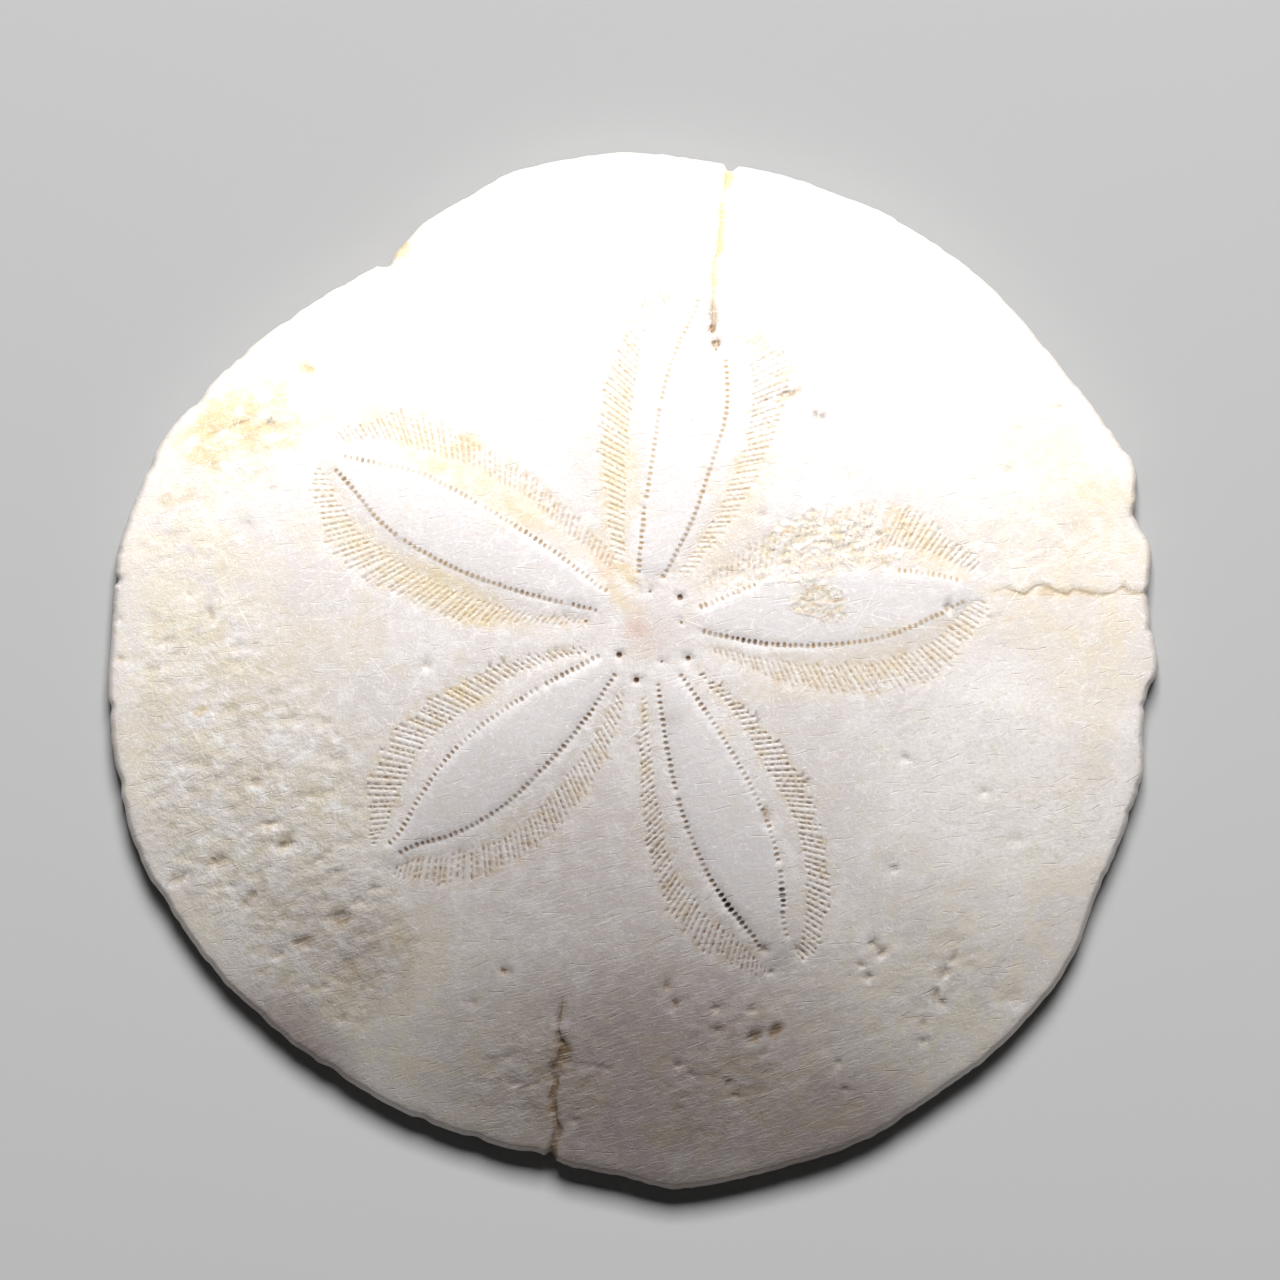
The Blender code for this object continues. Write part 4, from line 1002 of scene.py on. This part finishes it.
def aboral_sheet():
    """Points, heights, masks and triangles of the upper face."""
    points = margin_rings((0.1, 0.25, 0.45, TOP_ROUNDING))
    relief = petal_relief()
    marks = Points()
    add_pit_rings(marks)
    add_crack_rows(marks)
    keep = clear_of(marks.joined()[0], relief[0], 0.12)
    points.add(keep[polar(keep)[1] > 0.5])
    xy, offset, masks = (np.concatenate(pair) for pair in zip(points.joined(), relief))
    for spacing in (CELL_SPACING, FINE_SPACING, FIELD_SPACING):
        grid = field(spacing, 0.5)
        grid = clear_of(grid[spacing_at(grid) == spacing], xy, spacing * 0.62)
        xy = np.concatenate([xy, grid])
        offset = np.concatenate([offset, np.zeros(len(grid))])
        masks = np.concatenate([masks, np.zeros((len(grid), len(MASKS)))])
    flat, faces, source = triangulate(xy)
    height, base_masks = aboral_height(flat)
    height = height + np.where(source >= 0, offset[source], 0)
    masks = np.maximum(np.where((source >= 0)[:, None], masks[source], 0), base_masks)
    return flat, height, masks, faces


def groove_lines():
    """The food grooves of the oral face: five from the mouth, each forked."""
    lines = []
    for petal in PETALS:
        azimuth = math.radians(petal["azimuth"])
        way = np.array([math.cos(azimuth), math.sin(azimuth)])
        fork = MOUTH + GROOVE_TRUNK * way
        lines.append([MOUTH + (MOUTH_RADIUS + 0.4) * way, fork])
        for turn in (-1, 1):
            line = [fork]
            for share in np.linspace(0.0, 1.0, 9):
                radius = GROOVE_TRUNK + 1.2 + (GROOVE_REACH - GROOVE_TRUNK - 1.2) * share
                bend = GROOVE_SPREAD * math.sin(share * math.pi / 2) + 3.0
                angle = math.radians(petal["azimuth"] + turn * bend)
                line.append(MOUTH + radius * np.array([math.cos(angle), math.sin(angle)]))
            lines.append(line)
    return lines


def oral_points():
    """Points of the lower face: round its margin, mouth and periproct, along its grooves, and between."""
    points = margin_rings((0.12, 0.35, 0.75, ORAL_ROUNDING))
    for place, radius in ((MOUTH, MOUTH_RADIUS), (PERIPROCT, PERIPROCT_RADIUS)):
        for share in (0.0, 0.3, 0.55, 0.75, 0.9, 1.0, 1.15):
            points.add(oval_ring(*place, radius * share, radius * share, 0.0, max(1, int(26 * share))))
    for line in groove_lines():
        path, across = walked(line, 0.3, 0.45)
        for off in (-1.2, -0.6, 0.0, 0.6, 1.2):
            points.add(path + off * GROOVE_HALF_WIDTH * across)
    xy = points.joined()[0]
    return np.concatenate([xy, clear_of(field(ORAL_SPACING, 1.6), xy, ORAL_SPACING * 0.5)])


def oral_sheet():
    """Points, heights, masks and triangles of the lower face."""
    flat, faces, _ = triangulate(oral_points())
    groove = np.zeros(len(flat))
    for line in groove_lines():
        far, _, share = polyline_distance(flat, line)
        fade = 1 - 0.6 * share
        groove = np.maximum(groove, fade * (1 - smoothstep(0.0, 1.1, far / GROOVE_HALF_WIDTH)))
    mouth = 1 - smoothstep(0.5, 1.1, np.hypot(*(flat - MOUTH).T) / MOUTH_RADIUS)
    vent = 1 - smoothstep(0.4, 1.1, np.hypot(*(flat - PERIPROCT).T) / PERIPROCT_RADIUS)
    grain = np.clip(noise(flat, 2.3, 41) * 0.6 + noise(flat, 1.1, 42) * 0.5 - 0.2, 0, 1)
    height = (oral(flat) + GROOVE_DEPTH * groove + MOUTH_DEPTH * mouth + PERIPROCT_DEPTH * vent
              + ORAL_GRAIN * grain * smoothstep(1.0, 3.0, polar(flat)[1]))
    masks = np.zeros((len(flat), len(MASKS)))
    masks[:, MASKS.index("crack")] = np.maximum(0.5 * groove, np.maximum(mouth, vent))
    return flat, height, masks, faces


# ---------------------------------------------------------------- the mesh

def turned(flat, faces, upward):
    """The triangles with their corners in the order that makes them face up or down."""
    a, b, c = flat[faces[:, 0]], flat[faces[:, 1]], flat[faces[:, 2]]
    turn = (b - a)[:, 0] * (c - a)[:, 1] - (b - a)[:, 1] * (c - a)[:, 0]
    wrong = (turn > 0) != upward
    faces = faces.copy()
    faces[wrong] = faces[wrong][:, [0, 2, 1]]
    return faces


def rim_places(flat):
    """Which point of the ambitus each point is, or None."""
    tree = search_tree(RIM)
    found = [tree.find((*point, 0)) for point in flat]
    return [rim if far < SAME_PLACE else None for _, rim, far in found]


def joined_faces():
    """Places, masks and triangles of both faces as one surface. They share the points of the ambitus."""
    top, top_height, top_masks, top_faces = aboral_sheet()
    low, low_height, low_masks, low_faces = oral_sheet()
    top_rim = {rim: k for k, rim in enumerate(rim_places(top)) if rim is not None}
    low_rim = enumerate(rim_places(low), len(top))
    places = np.array([k if rim is None else top_rim[rim] for k, rim in low_rim])
    top_height[list(top_rim.values())] = AMBITUS_HEIGHT
    top_height = np.minimum(top_height, HIGH[2])
    faces = np.concatenate([turned(top, top_faces, True), places[turned(low, low_faces, False)]])
    xyz = np.concatenate([np.column_stack([top, top_height]), np.column_stack([low, low_height])])
    masks = np.concatenate([top_masks, low_masks])
    used, faces = np.unique(faces, return_inverse=True)
    return xyz[used], masks[used], faces.reshape(-1, 3)


def build_skin():
    """The skin's object, with each mask as an attribute of its points."""
    xyz, masks, faces = joined_faces()
    mesh = bpy.data.meshes.new("sand_dollar_skin")
    mesh.vertices.add(len(xyz))
    mesh.vertices.foreach_set("co", (xyz * MM).ravel())
    mesh.loops.add(faces.size)
    mesh.loops.foreach_set("vertex_index", faces.ravel())
    mesh.polygons.add(len(faces))
    mesh.polygons.foreach_set("loop_start", np.arange(0, faces.size, 3))
    mesh.update(calc_edges=True)
    mesh.validate()
    mesh.shade_smooth()
    for k, name in enumerate(MASKS):
        mesh.attributes.new(name, "FLOAT", "POINT").data.foreach_set("value", masks[:, k].copy())
    skin = bpy.data.objects.new("sand_dollar_skin", mesh)
    bpy.context.scene.collection.objects.link(skin)
    return skin


# ---------------------------------------------------------------- the stone

class Nodes:
    """Adds shader nodes with few words, and gives back the output that is wanted."""

    def __init__(self, material):
        material.use_nodes = True
        self.tree = material.node_tree
        self.shader = self.tree.nodes["Principled BSDF"]

    def put(self, socket, value):
        """Links an output to the socket, or sets the socket to a number, colour or place."""
        if isinstance(value, bpy.types.NodeSocket):
            self.tree.links.new(value, socket)
        else:
            socket.default_value = value

    def add(self, kind, inputs, **settings):
        """The outputs of a new node with those settings and those inputs, by name or number."""
        node = self.tree.nodes.new("ShaderNode" + kind)
        for name, setting in settings.items():
            setattr(node, name, setting)
        for key, value in inputs.items():
            self.put(node.inputs[key], value)
        return node.outputs

    def attribute(self, name):
        """One of the skin's masks."""
        return self.add("Attribute", {}, attribute_name=name)["Fac"]

    def math(self, operation, a, b=0.0, clamp=False):
        return self.add("Math", {0: a, 1: b}, operation=operation, use_clamp=clamp)[0]

    def times(self, a, b, clamp=False):
        return self.math("MULTIPLY", a, b, clamp)

    def larger(self, a, b):
        return self.math("MAXIMUM", a, b)

    def span(self, value, low, high, start=0.0, end=1.0):
        """Maps low..high to start..end, smoothly and held at the ends."""
        numbers = dict(enumerate((value, low, high, start, end)))
        return self.add("MapRange", numbers, interpolation_type="SMOOTHSTEP")["Result"]

    def mix(self, factor, a, b, blend="MIX"):
        """The colour a with b over it, by the factor. Inputs 6 and 7 and output 2 are the colours."""
        return self.add("Mix", {0: factor, 6: a, 7: b}, data_type="RGBA", blend_type=blend)[2]

    def masked(self, name, colour, tint, *span):
        """The colour with a tint over it, by a mask times an amount or times the span of a value."""
        mask = self.attribute(name)
        amount = self.span(*span) if len(span) > 1 else span[0]
        return self.mix(self.times(mask, amount), colour, tint)

    def place(self, location, turn, scale):
        """The point in millimetres, seen from that place, turn in degrees and scale."""
        inputs = {"Vector": self.add("TexCoord", {})["Object"], "Location": [v * MM for v in location],
                  "Rotation": (0, 0, math.radians(turn)), "Scale": [v * MM for v in scale]}
        return self.add("Mapping", inputs, vector_type="TEXTURE")["Vector"]

    def noise(self, size, detail=2.0, roughness=0.5, distortion=0.0):
        """Noise from 0 to 1 with features of that size in millimetres."""
        at = self.place((size * 3.1, size * 7.7, size * 1.3), 0.0, (size, size, size))
        return self.add("TexNoise", {"Vector": at, "Scale": 1.0, "Detail": detail, "Roughness": roughness,
                                     "Distortion": distortion})["Fac"]

    def cells(self, shift, turn, scale):
        """Cells in the plane: the way from a cell's middle to the point, and the cell's random numbers."""
        at = self.place((shift, shift * 0.7, 0), turn, scale)
        voronoi = self.add("TexVoronoi", {"Scale": 1.0, "Vector": at}, voronoi_dimensions="2D")
        way = self.add("VectorMath", {0: at, 1: voronoi["Position"]}, operation="SUBTRACT")["Vector"]
        return way, self.add("SeparateColor", {"Color": voronoi["Color"]})

    def line(self, off, run, chance, width, start, end):
        """A scratch that fades beside its line and towards its ends, and is stronger or weaker by chance."""
        across = self.span(self.math("ABSOLUTE", off), 0.0, width, 1.0, 0.0)
        along = self.span(self.math("ABSOLUTE", run), start, end, 1.0, 0.0)
        return self.times(self.times(across, along), self.span(chance["Green"], 0.3, 1.0))

    def short_scratches(self, cell, width, turn, spread, shift):
        """One straight scratch in each cell of that size, turned by turn and spread degrees at random."""
        way, chance = self.cells(shift, 0.0, (cell, cell, cell))
        angle = self.times(self.math("SUBTRACT", chance["Red"], 0.5), math.radians(spread))
        angle = self.math("SUBTRACT", angle, math.radians(turn))
        way = self.add("VectorRotate", {"Vector": way, "Angle": angle}, rotation_type="Z_AXIS")["Vector"]
        axes = self.add("SeparateXYZ", {"Vector": way})
        return self.line(axes["Y"], axes["X"], chance, width / cell, 0.2, 0.45)

    def parallel_scratches(self, cell, stretch, width, turn, shift):
        """Straight scratches side by side: one in each long cell, all turned nearly the same way."""
        way, chance = self.cells(shift, turn, (cell * stretch, cell, cell))
        axes = self.add("SeparateXYZ", {"Vector": way})
        lean = self.times(self.math("SUBTRACT", chance["Red"], 0.5), axes["X"])
        return self.line(self.math("ADD", axes["Y"], lean), axes["X"], chance, width / cell, 0.15, 0.55)

    def long_scratch(self, x0, y0, x1, y1):
        """A thin line between two places in millimetres, from 0 beside it to 1 in its middle."""
        at = self.place(((x0 + x1) / 2, (y0 + y1) / 2, 0), math.degrees(math.atan2(y1 - y0, x1 - x0)),
                        (math.hypot(x1 - x0, y1 - y0) / 2, SCRATCH_WIDTH, SCRATCH_HEIGHT))
        return self.add("TexGradient", {"Vector": at}, gradient_type="SPHERICAL")["Fac"]


def scratch_marks(nodes):
    """Chalky scratches, the fine parallel ones among them, and shallow grooves without chalk."""
    streaks = 0.0
    for cell, width, turn, spread in SHORT_SCRATCHES:
        streaks = nodes.larger(streaks, nodes.short_scratches(cell, width, turn, spread, cell * 3))
    streaks = nodes.times(streaks, nodes.span(nodes.noise(5.0, 2.0), 0.38, 0.6, 0.35, 1.0))
    streaks = nodes.times(streaks, nodes.span(nodes.attribute("lower_shade"), 0.0, 0.8, 1.0, 0.35))
    drawn = 0.0
    for cell, stretch, width, turn in FINE_SCRATCHES:
        drawn = nodes.larger(drawn, nodes.parallel_scratches(cell, stretch, width, turn, cell * 5))
    drawn = nodes.times(drawn, nodes.span(nodes.attribute("lower_shade"), 0.0, 0.5, 0.25, 0.8))
    furrowed = 0.0
    for cell, width, turn, spread in SHALLOW_GROOVES:
        furrowed = nodes.larger(furrowed, nodes.short_scratches(cell, width, turn, spread, cell * 7))
    scratches = 0.0
    for *ends, strength in SCRATCHES:
        scratches = nodes.larger(scratches, nodes.times(nodes.long_scratch(*ends), strength))
    return nodes.larger(nodes.larger(streaks, drawn), scratches), drawn, furrowed


def clouded(nodes, size, detail, roughness, distortion, low, high, most, least=0.0):
    """Cloudy patches of that size in millimetres, from least to most."""
    return nodes.span(nodes.noise(size, detail, roughness, distortion), low, high, least, most)


def stone_colour(nodes, broad, mottle):
    """The stone itself: patches of cream, yellower outward, with grey-white petals and buff bands."""
    colour = nodes.mix(nodes.span(broad, 0.35, 0.65), CREAM, CREAM_DARK)
    colour = nodes.mix(nodes.span(mottle, 0.35, 0.65, 0.0, 0.7), colour, CREAM_DARK)
    colour = nodes.mix(clouded(nodes, 2.4, 4.0, 0.7, 1.0, 0.5, 0.62, 0.55), colour, ROSE)
    colour = nodes.mix(clouded(nodes, 2.0, 4.0, 0.7, 1.0, 0.54, 0.66, 0.6), colour, PALE)
    yellow = clouded(nodes, 3.6, 4.0, 0.65, 0.8, 0.42, 0.6, 1.0, 0.1)
    colour = nodes.masked("outer", colour, OUTER, yellow)
    colour = nodes.mix(clouded(nodes, 3.2, 3.0, 0.65, 0.5, 0.52, 0.72, 0.5), colour, BUFF)
    colour = nodes.masked("edge", colour, EDGE, 0.5)
    colour = nodes.masked("petal", colour, POLISHED, mottle, 0.3, 0.65, 0.8, 0.25)
    colour = nodes.masked("band", colour, BAND, mottle, 0.3, 0.7, 0.15, 0.6)
    return nodes.masked("band", colour, TAN, clouded(nodes, 1.3, 3.0, 0.6, 0.6, 0.5, 0.64, 0.7))


def stained_colour(nodes, colour, speckle):
    """The stone with the rust of its honeycombs, its stains with a painted patch of light among them, and the
    sediment in cracks and pits.
    """
    colour = nodes.masked("cells", colour, RUST, nodes.noise(0.55, 3.0, 0.6), 0.53, 0.62, 0.0, 0.8)
    colour = nodes.masked("cells", colour, SPECK, nodes.noise(0.3, 2.0, 0.6), 0.57, 0.64, 0.0, 0.9)
    for kind, tint in STAIN_AND_LIGHT_COLOURS.items():
        spread = nodes.times(nodes.attribute(kind), nodes.span(speckle, 0.35, 0.6, 0.35, 1.0), clamp=True)
        colour = nodes.mix(spread, colour, tint)
    hollows = nodes.larger(nodes.attribute("crack"), nodes.times(nodes.attribute("pit"), 0.85))
    return nodes.mix(nodes.times(hollows, 0.88), colour, SEDIMENT)


def worn_colour(nodes, colour, mottle, fleck, scratched, furrowed):
    """The stone with flecks and scratches, painted highlights on lips, crests and ridges, its furrows and
    pores with painted shade inside the pores, and painted shade over the lower half.
    """
    colour = nodes.mix(nodes.span(fleck, 0.44, 0.28, 0.0, 0.45), colour, BAND)
    colour = nodes.mix(nodes.span(fleck, 0.56, 0.72, 0.0, 0.6), colour, CHALK_AND_HIGHLIGHT)
    colour = nodes.mix(nodes.times(furrowed, 0.4), colour, BAND)
    colour = nodes.mix(nodes.times(scratched, 0.9), colour, CHALK_AND_HIGHLIGHT)
    # painted highlight: white on the lamp-facing lips of furrows, pores and pits, and on crests and ridges
    colour = nodes.masked("lip", colour, CHALK_AND_HIGHLIGHT, 0.8)
    bed = nodes.mix(nodes.attribute("warm"), FURROW, FURROW_WARM)
    beads = nodes.span(nodes.noise(0.34, 1.0), 0.4, 0.58, 0.55, 1.1)
    colour = nodes.masked("furrow", colour, bed, beads)
    # painted shade: darker over the lower half, patchy with the mottle
    lower_shade = nodes.times(nodes.attribute("lower_shade"), nodes.span(mottle, 0.3, 0.6, 0.8, 1.05))
    colour = nodes.mix(lower_shade, colour, PAINTED_LOWER_SHADE, "MULTIPLY")
    colour = nodes.mix(nodes.times(scratched, nodes.times(lower_shade, 0.25)), colour, CHALK_AND_HIGHLIGHT)
    # painted shade inside the pores: near black in the wide open ones, darker on their upper sides and in the
    # deeper gonopores
    dark = nodes.attribute("dark")
    inside = nodes.mix(dark, nodes.mix(nodes.attribute("warm"), PORE, PORE_WARM), PORE_SHADE)
    return nodes.mix(nodes.attribute("pore"), colour, inside)


def stone_roughness(nodes, mottle, scratched):
    """Duller where it is eroded or scratched, and smoother on the petals."""
    rough = nodes.span(nodes.attribute("rough"), 0.0, 1.0, 0.50, 0.74)
    rough = nodes.math("SUBTRACT", rough, nodes.times(nodes.attribute("petal"), 0.12))
    rough = nodes.math("ADD", rough, nodes.times(scratched, 0.15))
    return nodes.math("ADD", rough, nodes.span(mottle, 0.3, 0.7, -0.05, 0.08), clamp=True)


def stone_bump(nodes, drawn, furrowed):
    """The finest grain and the fine scratches, which are too small for the mesh."""
    grain = nodes.noise(0.22, 3.0, 0.65)
    grain = nodes.times(grain, nodes.span(nodes.attribute("petal"), 0.0, 1.0, 0.9, 0.5))
    grit = nodes.noise(0.7, 3.0, 0.6)
    grit = nodes.times(grit, nodes.span(nodes.attribute("rough"), 0.0, 1.0, 0.9, 2.8))
    lines = nodes.math("SUBTRACT", nodes.times(drawn, 0.3), nodes.times(furrowed, 0.5))
    relief = nodes.math("ADD", nodes.math("ADD", grain, grit), lines)
    return nodes.add("Bump", {"Strength": 1.0, "Distance": BUMP_HEIGHT * MM, "Height": relief})["Normal"]


def fossil_material():
    """Cream limestone with polished petals, tan ribs, stains, eroded places, scratches and brown pores, with
    painted highlights on lips and crests and painted shade in the pores and over the lower half.
    """
    material = bpy.data.materials.new("fossil_limestone")
    nodes = Nodes(material)
    broad = nodes.noise(9.0, 3.0, 0.6)
    mottle = nodes.noise(1.5, 4.0, 0.65, distortion=0.4)
    fleck = nodes.noise(0.35, 3.0, 0.6)
    speckle = nodes.math("ADD", nodes.times(mottle, 0.6), nodes.times(fleck, 0.4))
    scratched, drawn, furrowed = scratch_marks(nodes)
    colour = stained_colour(nodes, stone_colour(nodes, broad, mottle), speckle)
    colour = worn_colour(nodes, colour, mottle, fleck, scratched, furrowed)
    nodes.put(nodes.shader.inputs["Base Color"], colour)
    nodes.put(nodes.shader.inputs["Roughness"], stone_roughness(nodes, mottle, scratched))
    nodes.shader.inputs["Specular IOR Level"].default_value = 0.35
    nodes.put(nodes.shader.inputs["Normal"], stone_bump(nodes, drawn, furrowed))
    return material


# ---------------------------------------------------------------- floor, light and camera

def build_floor():
    """The plain pale floor, a hair below the face that the fossil rests on."""
    bpy.ops.mesh.primitive_plane_add(size=FLOOR_SIZE, location=(0, 0, -FLOOR_DROP))
    floor = bpy.context.object
    floor.name = "floor"
    material = bpy.data.materials.new("floor_pale")
    material.use_nodes = True
    shader = material.node_tree.nodes["Principled BSDF"]
    shader.inputs["Base Color"].default_value = FLOOR_GREY
    shader.inputs["Roughness"].default_value = 0.9
    floor.data.materials.append(material)
    return floor


def area_light(name, place, target, size, power, lit, spread=180.0):
    """A soft light of that width and height for one object, with its beam held to spread degrees."""
    data = bpy.data.lights.new(name, "AREA")
    data.shape = "RECTANGLE"
    data.size, data.size_y = size
    data.energy = power
    data.spread = math.radians(spread)
    light = bpy.data.objects.new(name, data)
    bpy.context.scene.collection.objects.link(light)
    light.location = place
    light.rotation_euler = (Vector(target) - Vector(place)).to_track_quat("-Z", "Y").to_euler()
    lit_by_it = bpy.data.collections.new(name + "_lights")
    lit_by_it.objects.link(lit)
    light.light_linking.receiver_collection = lit_by_it


def build_light(skin, floor):
    """A soft lamp over the top edge for the fossil, a weak one above it, and an even light for the floor."""
    world = bpy.data.worlds.new("world")
    bpy.context.scene.world = world
    world.use_nodes = True
    background = world.node_tree.nodes["Background"]
    background.inputs["Color"].default_value = (1, 1, 1, 1)
    background.inputs["Strength"].default_value = WORLD_POWER
    area_light("key", (0.012, 0.205, 0.216), (0.004, 0.045, 0.0), (0.50, 0.09), KEY_POWER, skin, KEY_SPREAD)
    area_light("fill", (0.0, 0.0, 0.50), (0, 0, 0), (0.30, 0.30), FILL_POWER, skin)
    area_light("floor_light", (0.05, 0.55, 0.75), (0, 0, 0), (0.35, 0.35), FLOOR_POWER, floor)
    bpy.context.scene.view_settings.view_transform = "Standard"


def build_camera():
    """A long lens straight above the fossil, with the fossil where the photograph's frame has it."""
    width = FRAME_PIXELS / PIXELS_PER_MM * MM
    data = bpy.data.cameras.new("camera")
    data.lens = LENS
    data.sensor_width = SENSOR
    camera = bpy.data.objects.new("camera", data)
    bpy.context.scene.collection.objects.link(camera)
    half = FRAME_PIXELS / 2
    x = (half - CENTRE_PIXEL[0]) / PIXELS_PER_MM * MM
    y = (CENTRE_PIXEL[1] - half) / PIXELS_PER_MM * MM
    camera.location = (x, y, width * LENS / SENSOR + AMBITUS_HEIGHT * MM)
    bpy.context.scene.camera = camera


floor = build_floor()
skin = build_skin()
skin.data.materials.append(fossil_material())
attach(skin, "root")
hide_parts(NODE)
build_light(skin, floor)
build_camera()
